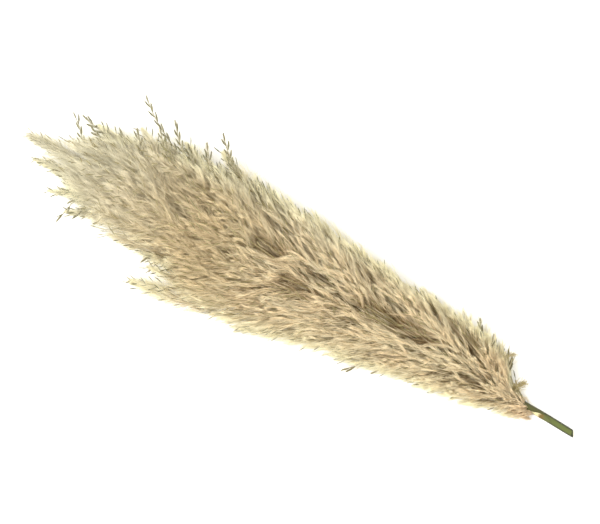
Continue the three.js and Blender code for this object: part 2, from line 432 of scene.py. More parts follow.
class Graph:
    """The nodes of one material, added by type."""

    def __init__(self, name: str) -> None:
        """Starts an empty material.

        Args:
            name: the material's name.
        """
        self.material = bpy.data.materials.new(name)
        self.material.use_nodes = True
        self.tree = self.material.node_tree
        self.tree.nodes.clear()

    def node(self, kind: str, settings: dict | None = None, **inputs: object) -> "bpy.types.Node":
        """Adds a node.

        Args:
            kind: the node's type, without its leading ShaderNode.
            settings: the node's own settings, set before its inputs.
            inputs: values or sockets, by the input's name with _ for a blank, or i and its number.

        Returns:
            The node.
        """
        made = self.tree.nodes.new("ShaderNode" + kind)
        for name, value in (settings or {}).items():
            setattr(made, name, value)
        for name, value in inputs.items():
            key = int(name[1:]) if name[1:].isdigit() else name.replace("_", " ")
            if isinstance(value, Socket):
                self.tree.links.new(value.socket, made.inputs[key])
            else:
                made.inputs[key].default_value = value
        return made

    def attribute(self, name: str) -> "Socket":
        """The value of a piece's own attribute."""
        return Socket(self, self.node("Attribute", {"attribute_name": name}).outputs["Fac"])

    def coordinates(self, scale: Triple = (1, 1, 1)) -> "Socket":
        """Object coordinates, in metres, scaled along each axis."""
        place = Socket(self, self.node("TexCoord").outputs["Object"])
        return Socket(self, self.node("Mapping", None, Vector=place, Scale=scale).outputs[0])

    def coordinate(self, axis: str) -> "Socket":
        """One of the Object coordinates, in metres."""
        return Socket(self, self.node("SeparateXYZ", None, Vector=self.coordinates()).outputs[axis])

    def noise(self, vector: "Socket", scale: float, detail: float = 2.0) -> "Socket":
        """Noise from about 0 to 1."""
        made = self.node("TexNoise", None, Vector=vector, Scale=scale, Detail=detail)
        return Socket(self, made.outputs["Fac"])

    def mix(self, factor: "Socket | float", one: object, other: object) -> "Socket":
        """A colour between two, by a factor from 0 to 1."""
        made = self.node("Mix", {"data_type": "RGBA"}, i0=factor, i6=one, i7=other)
        return Socket(self, made.outputs[2])

    def over(self, under: "Socket | tuple", layer: "Layer", value: "Socket") -> "Socket":
        """A colour with a layer over it, by the value that the layer follows."""
        return self.mix(self.ramp(value, layer.low, layer.high) * layer.share, under, layer.colour)

    def tinted(self, colour: "Socket | Triple", amount: "Socket") -> "Socket":
        """A colour times a number."""
        made = self.node("VectorMath", {"operation": "SCALE"}, i0=colour, i3=amount)
        return Socket(self, made.outputs[0])

    def ramp(self, value: "Socket", low: float, high: float) -> "Socket":
        """0 below low and 1 above high, with a smooth step between.

        Args:
            value: the number to follow.
            low: where the step begins.
            high: where it ends.

        Returns:
            The stepped number.
        """
        settings = {"interpolation_type": "SMOOTHSTEP"}
        made = self.node("MapRange", settings, Value=value, From_Min=low, From_Max=high)
        return Socket(self, made.outputs[0])

    def bump(self, height: "Socket", distance: float) -> "Socket":
        """A normal from a height, where distance is the height of 1 in metres."""
        made = self.node("Bump", None, Height=height, Distance=distance, Strength=1.0)
        return Socket(self, made.outputs[0])

    def finish(self, **inputs: object) -> bpy.types.Material:
        """Ends the material in a Principled shader.

        Args:
            inputs: the shader's values or sockets, by the input's name with _ for a blank.

        Returns:
            The finished material.
        """
        shader = self.node("BsdfPrincipled", None, **inputs)
        output = self.node("OutputMaterial")
        self.tree.links.new(shader.outputs[0], output.inputs[0])
        return self.material


class Socket:
    """A number in a material's nodes, on which arithmetic adds Math nodes."""

    def __init__(self, graph: Graph, socket: bpy.types.NodeSocket) -> None:
        """Wraps a node's output.

        Args:
            graph: the material that the node is in.
            socket: the output.
        """
        self.graph = graph
        self.socket = socket

    def _math(self, operation: str, one: object, other: object) -> "Socket":
        """A Math node of two values."""
        made = self.graph.node("Math", {"operation": operation}, i0=one, i1=other)
        return Socket(self.graph, made.outputs[0])

    def __add__(self, other: object) -> "Socket":
        """self + other."""
        return self._math("ADD", self, other)

    def __sub__(self, other: object) -> "Socket":
        """self - other."""
        return self._math("SUBTRACT", self, other)

    def __rsub__(self, other: object) -> "Socket":
        """other - self."""
        return self._math("SUBTRACT", other, self)

    def __mul__(self, other: object) -> "Socket":
        """self * other."""
        return self._math("MULTIPLY", self, other)

    __radd__ = __add__
    __rmul__ = __mul__


def linear(red: int, green: int, blue: int) -> tuple[float, float, float, float]:
    """A colour as the renderer holds it, from its usual values of 0 to 255."""
    shares = [value / 255 for value in (red, green, blue)]
    return (*(x / 12.92 if x <= 0.04045 else ((x + 0.055) / 1.055) ** 2.4 for x in shares), 1.0)


# Finishes


@dataclass(frozen=True)
class Layer:
    """A colour that is laid over another where some value rises from low to high, up to a share."""

    colour: tuple
    low: float
    high: float
    share: float = 1.0


@dataclass(frozen=True)
class PlumeFinish:
    """Silky hair with tan stalks and grey-brown spikelets, cream outside, with brown painted shade deep
    inside.

    Layers follow the depth, the edge or the part of a fibre, or its place in metres: x towards the foot for
    paler_to_foot and foot, -x towards the tip for paler_to_tip, tan, veil and far_side_tipward, y for
    far_side. A brightness is a plain share, with what is added for each value that varies it.
    """

    cream: ClassVar[tuple] = linear(238, 223, 184)
    # Painted shade: the deep colour deep in the plume, less of it towards the tip and the foot.
    deep: tuple = linear(140, 111, 66)
    paler_to_tip: Layer = Layer(cream, 0.03, 0.15, 0.85)
    paler_to_foot: Layer = Layer(cream, 0.17, 0.25, 0.7)
    outside: Layer = Layer(cream, 0.25, 0.9)
    warm: Layer = Layer(linear(224, 197, 154), 0.45, 0.85, 0.6)
    tan: Layer = Layer(linear(212, 190, 145), 0.02, 0.1, 0.6)
    tan_ends: Pair = (0.15, 0.21)
    veil: Layer = Layer(linear(227, 224, 199), 0.1, 0.27, 0.7)
    far_side: Pair = (0.02, 0.07)
    far_side_tipward: Pair = (-0.15, 0.05)
    far_side_share: float = 0.45
    # Painted glow: paler cream on the hair at the plume's sides, a little more towards the hairs' ends.
    painted_edge_glow: Layer = Layer(linear(250, 243, 204), 0.68, 1.08, 0.85)
    painted_edge_glow_along: float = 0.1
    foot: Layer = Layer(linear(222, 192, 154), 0.225, 0.265, 0.6)
    stalk: Layer = Layer(linear(184, 168, 120), 0.2, 0.45)
    spikelet: Layer = Layer(linear(108, 104, 73), 0.6, 0.9)
    spikelet_edge: Pair = (0.7, 1.05)
    spikelet_shown: Pair = (0.4, 0.6)
    patch_stretch: Triple = (1.0, 1.6, 1.6)
    patch_scale: float = 16.0
    patch_tint: float = 0.35
    brightness: Triple = (0.74, 0.34, 0.06)
    roughness: float = 0.6
    specular: float = 0.25

    def material(self) -> bpy.types.Material:
        """Painted shade by depth, painted glow at the sides, place along the hair, lock tints and broad
        patches.

        It ends in a brightness of a + b tint + c along.

        Returns:
            The material.
        """
        graph = Graph("plume_hair")
        depth, along = graph.attribute("depth"), graph.attribute("along")
        tint, part = graph.attribute("tint"), graph.attribute("part")
        edge = graph.attribute("edge")
        patches = graph.noise(graph.coordinates(self.patch_stretch), self.patch_scale)
        x = graph.coordinate("X")
        tipward = x * -1
        # Painted shade: hair deep in the plume takes the brown deep colour, less of it towards the tip and
        # the foot.
        deep = graph.over(self.deep, self.paler_to_tip, tipward)
        deep = graph.over(deep, self.paler_to_foot, x)
        colour = graph.over(deep, self.outside, depth)
        colour = graph.over(colour, self.warm, patches + tint * self.patch_tint)
        tan = graph.ramp(tipward, self.tan.low, self.tan.high) - graph.ramp(tipward, *self.tan_ends)
        colour = graph.mix(tan * self.tan.share, colour, self.tan.colour)
        far = graph.ramp(graph.coordinate("Y"), *self.far_side) * graph.ramp(tipward, *self.far_side_tipward)
        colour = graph.mix(far * self.far_side_share, colour, self.veil.colour)
        colour = graph.over(colour, self.veil, tipward)
        # Painted glow: hair at the plume's sides, and towards the ends of the hairs, is paler cream.
        colour = graph.over(colour, self.painted_edge_glow, edge + along * self.painted_edge_glow_along)
        colour = graph.over(colour, self.foot, x)
        colour = graph.over(colour, self.stalk, part)
        least, more = self.spikelet_shown
        shown = graph.ramp(edge, *self.spikelet_edge) * more + least
        spikelets = graph.ramp(part, self.spikelet.low, self.spikelet.high) * shown
        colour = graph.mix(spikelets, colour, self.spikelet.colour)
        plain, by_tint, by_along = self.brightness
        colour = graph.tinted(colour, plain + tint * by_tint + along * by_along)
        return graph.finish(Base_Color=colour, Roughness=self.roughness, Specular_IOR_Level=self.specular)


@dataclass(frozen=True)
class StemFinish:
    """A green stem, with painted shade at its sides and between its ribs, golden under the head, and a pale
    pith.

    Fibres and blotches are noises stretched along the stem. The golden and cut_band layers follow the
    distance from the cut end in millimetres, towards the head and towards the cut.
    """

    green: tuple = linear(85, 93, 43)
    dark: Layer = Layer(linear(36, 39, 18), 0.5, 1.0)
    golden: Layer = Layer(linear(68, 63, 30), 16.0, 42.0, 0.75)
    cut_band: Layer = Layer(linear(36, 39, 18), -2.6, -0.8, 0.9)
    pith: tuple = linear(214, 208, 150)
    fibre_stretch: Triple = (0.06, 1.0, 1.0)
    fibre_scale: float = 1500.0
    fibre_detail: float = 3.0
    fibre_share: float = 0.4
    fibre_height: float = 0.00012
    blotch_stretch: Triple = (0.4, 1.0, 1.0)
    blotch_scale: float = 220.0
    blotch_share: float = 0.2
    # Painted shade in the grooves between the ribs.
    groove_shade_share: float = 0.08
    roughness: float = 0.5
    specular: float = 0.3

    def material(self) -> bpy.types.Material:
        """Fine lines along the stem, and colours by its attributes along, rib, side and pith.

        The dark layer follows the shares of fibres and blotches, plus side, less the share of rib. Side is a
        painted shade towards the stem's edges, and rib a painted shade in the grooves between the ribs.

        Returns:
            The material.
        """
        graph = Graph("stem_green")
        s, pith = graph.attribute("along"), graph.attribute("pith")
        rib, side = graph.attribute("rib"), graph.attribute("side")
        fibres = graph.noise(graph.coordinates(self.fibre_stretch), self.fibre_scale, self.fibre_detail)
        blotches = graph.noise(graph.coordinates(self.blotch_stretch), self.blotch_scale)
        # Painted shade: darker towards the stem's edges as seen from above, and in the grooves between its
        # ribs.
        shade = fibres * self.fibre_share + blotches * self.blotch_share + side - rib * self.groove_shade_share
        colour = graph.over(self.green, self.dark, shade)
        colour = graph.over(colour, self.golden, s)
        colour = graph.over(colour, self.cut_band, s * -1)
        colour = graph.mix(pith, colour, self.pith)
        normal = graph.bump(fibres, self.fibre_height)
        return graph.finish(
            Base_Color=colour, Roughness=self.roughness, Normal=normal, Specular_IOR_Level=self.specular
        )


@dataclass(frozen=True)
class BractFinish:
    """A dry papery bract: olive at its foot, golden brown above, pale cream at its torn tip."""

    foot: tuple = linear(84, 88, 42)
    middle: Layer = Layer(linear(102, 82, 32), 0.35, 0.6)
    middle_veins: float = 0.2
    tip: Layer = Layer(linear(216, 204, 158), 0.66, 0.86)
    tip_veins: float = 0.15
    vein_stretch: Triple = (0.1, 1.0, 1.0)
    vein_scale: float = 1800.0
    vein_height: float = 0.0001
    brightness: Pair = (0.8, 0.4)
    roughness: float = 0.75

    def material(self) -> bpy.types.Material:
        """Veins along the bract, over a colour that pales towards its tip.

        Returns:
            The material.
        """
        graph = Graph("bract_papery")
        along = graph.attribute("along")
        veins = graph.noise(graph.coordinates(self.vein_stretch), self.vein_scale)
        colour = graph.over(self.foot, self.middle, along + veins * self.middle_veins)
        colour = graph.over(colour, self.tip, along + veins * self.tip_veins)
        plain, by_veins = self.brightness
        colour = graph.tinted(colour, plain + veins * by_veins)
        normal = graph.bump(veins, self.vein_height)
        return graph.finish(Base_Color=colour, Roughness=self.roughness, Normal=normal)


@dataclass(frozen=True)
class FloorFinish:
    """A plain pale floor."""

    colour: Triple = (0.96, 0.945, 0.89)
    cloud_scale: float = 1.5
    brightness: Pair = (0.99, 0.02)
    roughness: float = 0.9
    specular: float = 0.1

    def material(self) -> bpy.types.Material:
        """One matt colour, with the least change of shade over it.

        Returns:
            The material.
        """
        graph = Graph("floor_pale")
        plain, by_clouds = self.brightness
        clouds = graph.noise(graph.coordinates(), self.cloud_scale)
        colour = graph.tinted(self.colour, plain + clouds * by_clouds)
        return graph.finish(Base_Color=colour, Roughness=self.roughness, Specular_IOR_Level=self.specular)


def dress(piece: bpy.types.Object, material: bpy.types.Material, slot: Slot, *nodes: str) -> None:
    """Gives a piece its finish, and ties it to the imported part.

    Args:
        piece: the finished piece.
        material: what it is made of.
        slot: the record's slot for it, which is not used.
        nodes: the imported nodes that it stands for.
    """
    piece.data.materials.append(material)
    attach(piece, BODY)
    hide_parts(*nodes)
    LOG.info("%s: %d triangles", piece.name, len(piece.data.polygons))


# Stem and bract


@dataclass
class Stem:
    """The green stem, which runs on inside the plume as its stalk."""

    stalk_end: float = STALK_END
    cut_slant: float = 0.55
    slant_fades: float = 1.2
    past_cut: float = 1.6
    cut_blend: float = 12.0
    cut_rings: tuple[float, ...] = (0.3, 0.62, 0.86, 0.97)
    cut_pith: tuple[float, ...] = (1.0, 1.0, 0.7, 0.0)
    hollow: float = 0.35
    sides: int = 66
    steps: int = 60
    crowding: float = 1.6
    ribs: int = 22
    rib_depth: float = 0.022
    ribs_begin: float = 1.5
    point: float = 12.0
    point_radius: float = 0.02
    tip_past: float = 1.0
    # Painted shade towards the stem's two edges, stronger on the +Y side, and how fast it falls off.
    painted_edge_shade: Pair = (1.0, 0.85)
    edge_shade_falloff: float = 1.8

    def build(self) -> bpy.types.Object:
        """A tube along the stem's line, whose rings close on a pointed end and on a slanted, dished cut.

        The radius at s and w is the stem's radius times 1 + rib_depth cos(ribs w). Rings crowd towards the
        cut end, because s = length t^crowding. The cut's rings sink by a cosine, and lean by the slant.

        Returns:
            The piece.
        """
        s = self.stalk_end * np.linspace(0, 1, self.steps) ** self.crowding
        run_out = self.past_cut * np.clip(1 - s / self.cut_blend, 0, 1)
        turn = np.arange(self.sides) * TURN / self.sides
        ribbing = 1 + self.rib_depth * np.cos(self.ribs * turn) * np.clip(s / self.ribs_begin, 0, 1)[:, None]
        radius = SHAPE.stem_radius(s)[:, None] * ribbing
        radius *= np.clip((self.stalk_end - s) / self.point, self.point_radius, 1)[:, None]
        face = np.array(self.cut_rings)
        rings_s = np.concatenate([np.zeros(len(face)), s])
        past = np.concatenate([np.full(len(face), self.past_cut), run_out])
        rings_r = np.concatenate([face[:, None] * radius[:1] * np.ones((1, self.sides)), radius])
        sunk = np.concatenate([self.hollow * np.cos(face * math.pi / 2), np.zeros(len(s))])
        lean = np.exp(-rings_s / self.slant_fades)
        side, up = rings_r * np.cos(turn), rings_r * np.sin(turn)
        middle = SHAPE.stem_line(rings_s)
        x = middle[:, :1] + past[:, None] - sunk[:, None] - self.cut_slant * side * lean[:, None]
        rings = np.stack([x, middle[:, 1:2] + side, middle[:, 2:] + up], axis=-1)
        ends = np.stack([
            middle[0] + [self.past_cut - self.hollow, 0, 0],
            middle[-1] - [self.tip_past, 0, 0],
        ])
        points = np.concatenate([ends[:1], rings.reshape(-1, 3), ends[1:]])

        def each(value: Array) -> Array:
            """A value for each vertex, from one for each ring."""
            return np.concatenate([value[:1], np.repeat(value, self.sides), value[-1:]])

        around = np.tile(turn, len(rings_s))
        rib = np.cos(self.ribs * around)
        # Painted shade: darker towards the edges of the stem as seen from above, more on the +Y side.
        edge_shade = np.where(np.cos(around) > 0, *self.painted_edge_shade) * np.abs(np.cos(around)) ** self.edge_shade_falloff
        rib, side = (np.concatenate([[0], value, [0]]) for value in (rib, edge_shade))
        pith = each(np.concatenate([self.cut_pith, np.zeros(len(s))]))
        parts = MeshParts()
        faces = spindle_faces(len(rings_s), self.sides)
        parts.add(points, faces, along=each(rings_s), pith=pith, rib=rib, side=side)
        piece = parts.build("stem_green")
        dress(piece, StemFinish().material(), Slot.STEM, "stem")
        return piece


@dataclass
class Bract:
    """The papery bract at the foot of the plume, which hugs the stem and bends away at its torn tip.

    Its tears are sines of u, each with its depth, its pitch and its shift.
    """

    foot: float = 25.0
    end: float = 48.0
    angle: float = 2.0
    half_width: float = 2.7
    tip_share: float = 0.3
    thickness: float = 0.35
    thin_sides: float = 0.75
    thin_tip: float = 0.7
    gap: float = 0.3
    curl: float = 2.0
    tears: tuple[Triple, ...] = ((0.1, 5.3, 0.7), (0.07, 13.1, 0.0))
    short_sides: float = 0.12
    foot_curve: float = 0.35
    ridge: float = 0.05
    ridges: int = 11
    ridge_foot: float = 0.4
    wave: float = 0.35
    wave_pitch: Pair = (2.4, 7.0)
    across: int = 28
    along: int = 60

    def build(self) -> bpy.types.Object:
        """A thin shell on a grid of u across and t along it, with its inner and outer faces and a rim.

        Its half width narrows to tip_share with the square of t, it stands off the stem by the gap plus
        curl t^3, and its end is torn: t is shortened by the tears and by short_sides u^2.

        Returns:
            The piece.
        """
        u, t = np.meshgrid(np.linspace(-1, 1, self.across), np.linspace(0, 1, self.along), indexing="ij")
        torn = np.ones_like(u)
        for deep, pitch, shift in self.tears:
            torn = torn - deep * np.abs(np.sin(pitch * u + shift))
        torn = torn - self.short_sides * u**2
        foot_curve = self.foot_curve * u**2 * (1 - t) ** 3
        s = self.foot + (self.end - self.foot) * (t * torn + foot_curve)
        width = self.half_width * (1 + (self.tip_share - 1) * t**2)
        angle = self.angle - u * width / SHAPE.stem_radius(s)
        ridge = self.ridge * np.cos(self.ridges * math.pi * u) * (self.ridge_foot + t)
        pitch_across, pitch_along = self.wave_pitch
        wave = self.wave * np.sin(pitch_across * u + pitch_along * t) * t**2
        thin = self.thickness * (1 - self.thin_sides * np.abs(u) ** 3) * (1 - self.thin_tip * t**4)

        def skin(side: float) -> Array:
            """One skin's points.

            Args:
                side: -1 for the inner skin and 1 for the outer.

            Returns:
                The points, of shape (points, 3).
            """
            away = SHAPE.stem_radius(s) + self.gap + self.thickness / 2 + self.curl * t**3
            away = away + ridge + wave + side * thin / 2
            turned = np.stack([np.zeros_like(s), np.cos(angle) * away, np.sin(angle) * away], axis=-1)
            return (SHAPE.stem_line(s) + turned).reshape(-1, 3)

        index = np.arange(self.across * self.along).reshape(self.across, self.along)
        a, b, c, d = index[:-1, :-1], index[1:, :-1], index[1:, 1:], index[:-1, 1:]
        quads = np.stack([a, b, c, d], axis=-1).reshape(-1, 4)
        outer = np.concatenate([quads[:, [0, 1, 2]], quads[:, [0, 2, 3]]])
        rim = np.concatenate([index[:-1, 0], index[-1, :-1], index[:0:-1, -1], index[0, :0:-1]])
        onward = np.roll(rim, -1)
        inner = outer[:, ::-1] + index.size
        wall = [[onward, rim, rim + index.size], [onward, rim + index.size, onward + index.size]]
        faces = np.concatenate([outer, inner, *(np.stack(triangle, 1) for triangle in wall)])
        parts = MeshParts()
        both = np.concatenate([skin(1), skin(-1)])
        parts.add(both, self.facing_out(both, faces), along=np.tile(t.ravel(), 2))
        piece = parts.build("bract_papery")
        dress(piece, BractFinish().material(), Slot.BRACT, "bract")
        return piece

    @staticmethod
    def facing_out(points: Array, faces: Array) -> Array:
        """The faces, turned round if the body they close has a negative volume.

        Args:
            points: the body's vertices.
            faces: its triangles' corners.

        Returns:
            The triangles' corners, in an order that faces outwards.
        """
        a, b, c = (points[faces[:, k]] for k in range(3))
        volume = np.einsum("ij,ij->i", a, np.cross(b, c)).sum()
        return faces if volume > 0 else faces[:, ::-1]


# Hair


@dataclass
class Locks:
    """Locks of hair, each round a branchlet that leaves a limb, as arrays with one entry for each lock.

    A lock's branchlet runs from its root over `length`. On the way it turns round the stem by `turn`,
    moves outwards as a branch that had left the stalk earlier by `lift`, and spreads more by `widen`. Its
    middle bows by `bow_across` and `bow_out`. On a parting it is `sunk`, and counts as deeper by
    `parting_painted_shade`, which paints shade on it in the seam.
    """

    s: Array
    angle: Array
    start: Array
    spread: Array
    widen: Array
    length: Array
    turn: Array
    lift: Array
    width: Array
    bow_across: Array
    bow_out: Array
    tint: Array
    fullness: Array
    ease: ClassVar[float] = 0.25
    step: ClassVar[float] = 0.04
    least_bow: ClassVar[float] = -0.5
    sunk: ClassVar[float] = 0.5
    # Painted shade: how much deeper a lock on a parting counts, which darkens its colour in the seam.
    parting_painted_shade: ClassVar[float] = 0.8
    least_kept: ClassVar[float] = 0.3

    def repeated(self, counts: Array) -> "Locks":
        """Each lock's values, as many times as counts says."""
        return Locks(*(np.repeat(getattr(self, each.name), counts) for each in fields(self)))

    def at(self, u: Array) -> tuple[Array, Array, Array, Array]:
        """Places along the branchlets.

        Args:
            u: shares of each branchlet's length, of shape (locks, places).

        Returns:
            The points, the unit vectors across and outwards there, how far out in the plume they are, and
            the same lowered beside a parting, which paints shade on the hair in the seam.
        """

        def on_branchlet(share: Array) -> tuple[Array, Array, Array]:
            """The place at shares of the length, with most of the turn and lift in its first half.

            Args:
                share: shares of each branchlet's length.

            Returns:
                The s, angle and start there.
            """
            eased = share * (1 + self.ease - self.ease * share)
            s = self.s[:, None] + self.length[:, None] * share
            angle = self.angle[:, None] + self.turn[:, None] * eased
            start = self.start[:, None] - self.lift[:, None] * eased
            return s, angle, start

        s, angle, start = on_branchlet(u)
        closeness = sum(parting.closeness(s, angle) for parting in PARTINGS)
        spread = (self.spread[:, None] + self.widen[:, None] * u) * (1 - self.sunk * closeness)
        point = SHAPE.place(s, self.parted(s, angle), start, spread)
        ahead_s, ahead_angle, ahead_start = on_branchlet(u + self.step)
        ahead = SHAPE.place(ahead_s, self.parted(ahead_s, ahead_angle), ahead_start, spread)
        along = unit(ahead - point)
        across = round_stem(angle)
        across = unit(across - along * (along * across).sum(-1, keepdims=True))
        out = np.cross(along, across)
        bow = np.maximum(4 * u * (1 - u), self.least_bow)[..., None]
        point = point + bow * (self.bow_across[:, None, None] * across + self.bow_out[:, None, None] * out)
        outness = SHAPE.outness(s, start)
        # The last value, lowered beside a parting, paints shade into the seam.
        return point, across, out, outness, outness - self.parting_painted_shade * closeness

    def fitted(self, slack: Array) -> "Locks":
        """The locks, with each one shortened that would pass the hair's outline.

        A lock whose root and tip stand at r and t keeps (slack - r) / (t - r) of its length, and of what it
        turns, moves and spreads on the way, but at least the share least_kept.

        Args:
            slack: where each lock's tip may stand, as a share of the outline.

        Returns:
            The locks.
        """
        ends, *_ = self.at(np.tile([0.0, 1.0], (len(self.s), 1)))
        root, tip = SHAPE.beyond(ends).T
        kept = np.clip((slack - root) / np.maximum(tip - root, 1e-3), self.least_kept, 1)
        names = ("length", "turn", "lift", "widen", "bow_out")
        less = {name: getattr(self, name) * kept for name in names}
        less |= {name: getattr(self, name) * np.sqrt(kept) for name in ("width", "fullness")}
        return replace(self, **less)

    @staticmethod
    def parted(s: Array, angle: Array) -> Array:
        """The angles, pushed away from each parting in turn.

        Args:
            s: distances from the cut end.
            angle: directions round the stem.

        Returns:
            The new angles.
        """
        for parting in PARTINGS:
            angle = parting.opened(s, angle)
        return angle


@dataclass(frozen=True)
class Parting:
    """A seam along the top of the plume, where the hair falls to either side and shows what is deeper.

    It runs from s = `first` to `last` at one angle, and fades past its ends.
    """

    first: float
    last: float
    angle: float
    width: float
    push: float
    fade: Pair = (1.5, 1.3)

    def widths_away(self, angle: Array) -> Array:
        """How many widths each angle is from the seam, the short way round."""
        return (np.remainder(angle - self.angle + math.pi, TURN) - math.pi) / self.width

    def closeness(self, s: Array, angle: Array) -> Array:
        """1 on the seam, falling to 0 beside it and past its ends.

        Across, it is a bell exp(-x^2) at x widths away. Along, it is a (b - y) held to 0 to 1, where y is
        the way from the middle in half lengths, and a and b are the fade.

        Args:
            s: distances from the cut end.
            angle: directions round the stem.

        Returns:
            A number for each place.
        """
        steepness, end = self.fade
        middle, half = (self.first + self.last) / 2, (self.last - self.first) / 2
        along = np.clip(steepness * (end - np.abs(s - middle) / half), 0, 1)
        return along * np.exp(-(self.widths_away(angle) ** 2))

    def opened(self, s: Array, angle: Array) -> Array:
        """The angles after the parting: x widths away they move on by push x times the closeness."""
        return angle + self.push * self.widths_away(angle) * self.closeness(s, angle)


PARTINGS = (
    Parting(165, 255, 1.42, 0.18, 0.38),
    Parting(298, 336, 1.75, 0.13, 0.2),
    Parting(340, 376, 1.3, 0.13, 0.2),
)
HAIR_SHARES = np.array([0.0, 0.5, 1.0])  # where along a hair its three points are


@dataclass(frozen=True)
class HairStyle:
    """How the hairs of a lock lie, in millimetres and shares of the lock's length.

    `finer` and `looser` are factors by the s of a hair's root, `stouter` one by how far out it is, and
    `flyaway` is the chance that it strays, by how far to the side it stands. Bold hairs are stout ones near
    the surface.
    """

    roots: Pair = (0.0, 0.85)
    length: Pair = (11.0, 25.0)
    furthest: float = 1.5
    radius: Pair = (0.1, 0.175)
    finer: Steps = ((330.0, 520.0), (1.0, 0.6))
    stouter: Steps = ((0.3, 0.6, 0.9), (4.5, 2.2, 1.0))
    looser: Steps = ((370.0, 480.0), (1.0, 2.05))
    fan: Triple = (0.0, 0.66, 1.0)
    nearest: float = 0.02
    taper: float = 0.4
    stray: float = 0.9
    resting: Pair = (0.1, 2.4)
    slack: Pair = (0.86, 1.1)
    flyaway: Steps = ((0.6, 0.95), (0.1, 0.4))
    flyaway_away: float = 1.7
    flyaway_slack: float = 0.2
    flyaway_radius: float = 0.55
    bold_share: float = 0.1
    bold_from: float = 0.6
    bold_radius: float = 2.1
    bold_pale: float = 0.65
    tint_spread: float = 0.16

    def grow(self, parts: MeshParts, locks: Locks, counts: Array, rng: Rng) -> None:
        """Adds the hairs of some locks.

        A hair starts on the branchlet at u0 and runs on for its length. At a share v of its own length it
        lies width * fan(v) * (1 - taper u^2) away from the branchlet, in its own direction, so that hairs
        leave at a slant and close up again towards the lock's tip.

        Args:
            parts: the mesh to add to.
            locks: the locks.
            counts: how many hairs each lock has.
            rng: where the draws come from.
        """
        each = locks.repeated(counts)
        n = len(each.s)
        root = rng.uniform(*self.roots, n)[:, None]
        ends, *_ = locks.at(np.tile([0.0, 1.0], (len(locks.s), 1)))
        stretch = np.repeat(np.linalg.norm(ends[:, 1] - ends[:, 0], axis=-1), counts)[:, None]
        run = np.minimum(rng.uniform(*self.length, n)[:, None] / stretch, self.furthest - root)
        u = root + run * HAIR_SHARES
        point, across, out, outness, depth = each.at(u)
        direction = any_turn(rng, n)[:, None, None]
        flies = rng.uniform(size=n) < np.interp(SHAPE.sideways(point[:, 2]), *self.flyaway)
        loose = np.interp(each.s, *self.looser) * np.where(flies, self.flyaway_away, 1.0)
        spreading = np.sqrt(rng.uniform(self.nearest, 1, n)) * loose
        away = (each.width * spreading)[:, None] * np.array(self.fan)
        away = away * (1 - self.taper * np.minimum(u, 1) ** 2)
        point = point + away[..., None] * (np.cos(direction) * across + np.sin(direction) * out)
        point = point + rng.normal(0, self.stray, (n, 3, 3)) * HAIR_SHARES[:, None] * loose[:, None, None]
        point = SHAPE.hold_in(point, rng.uniform(*self.slack, n) + self.flyaway_slack * flies)
        thick = rng.uniform(*self.radius, n) * np.interp(each.s, *self.finer)
        thick *= np.interp(outness[:, 1], *self.stouter) * np.where(flies, self.flyaway_radius, 1.0)
        bold = (rng.uniform(size=n) < self.bold_share) & ~flies & (outness[:, 1] > self.bold_from)
        thick *= np.where(bold, self.bold_radius, 1.0)
        lay_down(point, rng.uniform(*self.resting, n) + thick)
        tint = np.clip(each.tint + rng.normal(0, self.tint_spread, n), 0, 1)
        tint = np.where(bold, rng.uniform(size=n) < self.bold_pale, tint)
        # depth sets the painted shade deep in the plume, and edge the painted glow at its sides.
        add_spindles(
            parts, point, thick[:, None], 3, any_turn(rng, n), depth=depth, along=HAIR_SHARES[None],
            tint=tint, part=Part.HAIR.value, edge=SHAPE.sideways(point),
        )


def lay_down(point: Array, lowest: float | Array) -> None:
    """Raises what lies lower than its own resting height, as where hair is pressed on the table.

    Args:
        point: the points of each fibre, on its first axis, which are changed in place.
        lowest: the least height, for all fibres or for each.
    """
    height = np.reshape(lowest, (-1, *[1] * (point.ndim - 2)))
    np.maximum(point[..., 2], height, out=point[..., 2])


@dataclass(frozen=True)
class SpikeletStyle:
    """Slim spikelets, which stand off their branchlet at a slant and end in a fine awn."""

    length: Pair = (8.0, 12.0)
    radius: Pair = (0.42, 0.68)
    stations: tuple[float, ...] = (0.0, 0.24, 0.5, 0.8, 1.0)
    girth: Triple = (0.5, 1.0, 0.7)
    sides: int = 3
    slant: Pair = (0.28, 0.8)
    resting: float = 1.25
    least_edge: float = 0.0

    def grow(
        self, parts: MeshParts, foot: Array, along: Array, aside: Array, rng: Rng, depth: float | Array = 1.0
    ) -> None:
        """Adds spikelets.

        A spikelet's middle line is its foot plus its length times (v along + slant v (1 - v / 4) aside).

        Args:
            parts: the mesh to add to.
            foot: where each one stands.
            along: the direction of its branchlet.
            aside: the unit direction in which it stands off.
            rng: where the draws come from.
            depth: how far out in the plume it is.
        """
        n = len(foot)
        v = np.array(self.stations)[None, :, None]
        length = rng.uniform(*self.length, n)[:, None, None]
        slant = rng.uniform(*self.slant, n)[:, None, None]
        line = foot[:, None] + length * (v * along[:, None] + slant * v * (1 - v / 4) * aside[:, None])
        lay_down(line, self.resting)
        radius = rng.uniform(*self.radius, n)[:, None] * np.array(self.girth)
        add_spindles(
            parts, line, radius, self.sides, any_turn(rng, n), depth=depth, along=v[..., 0],
            tint=rng.uniform(0, 1, n), part=Part.SPIKELET.value,
            edge=np.maximum(SHAPE.sideways(line), self.least_edge),
        )


# Sprays


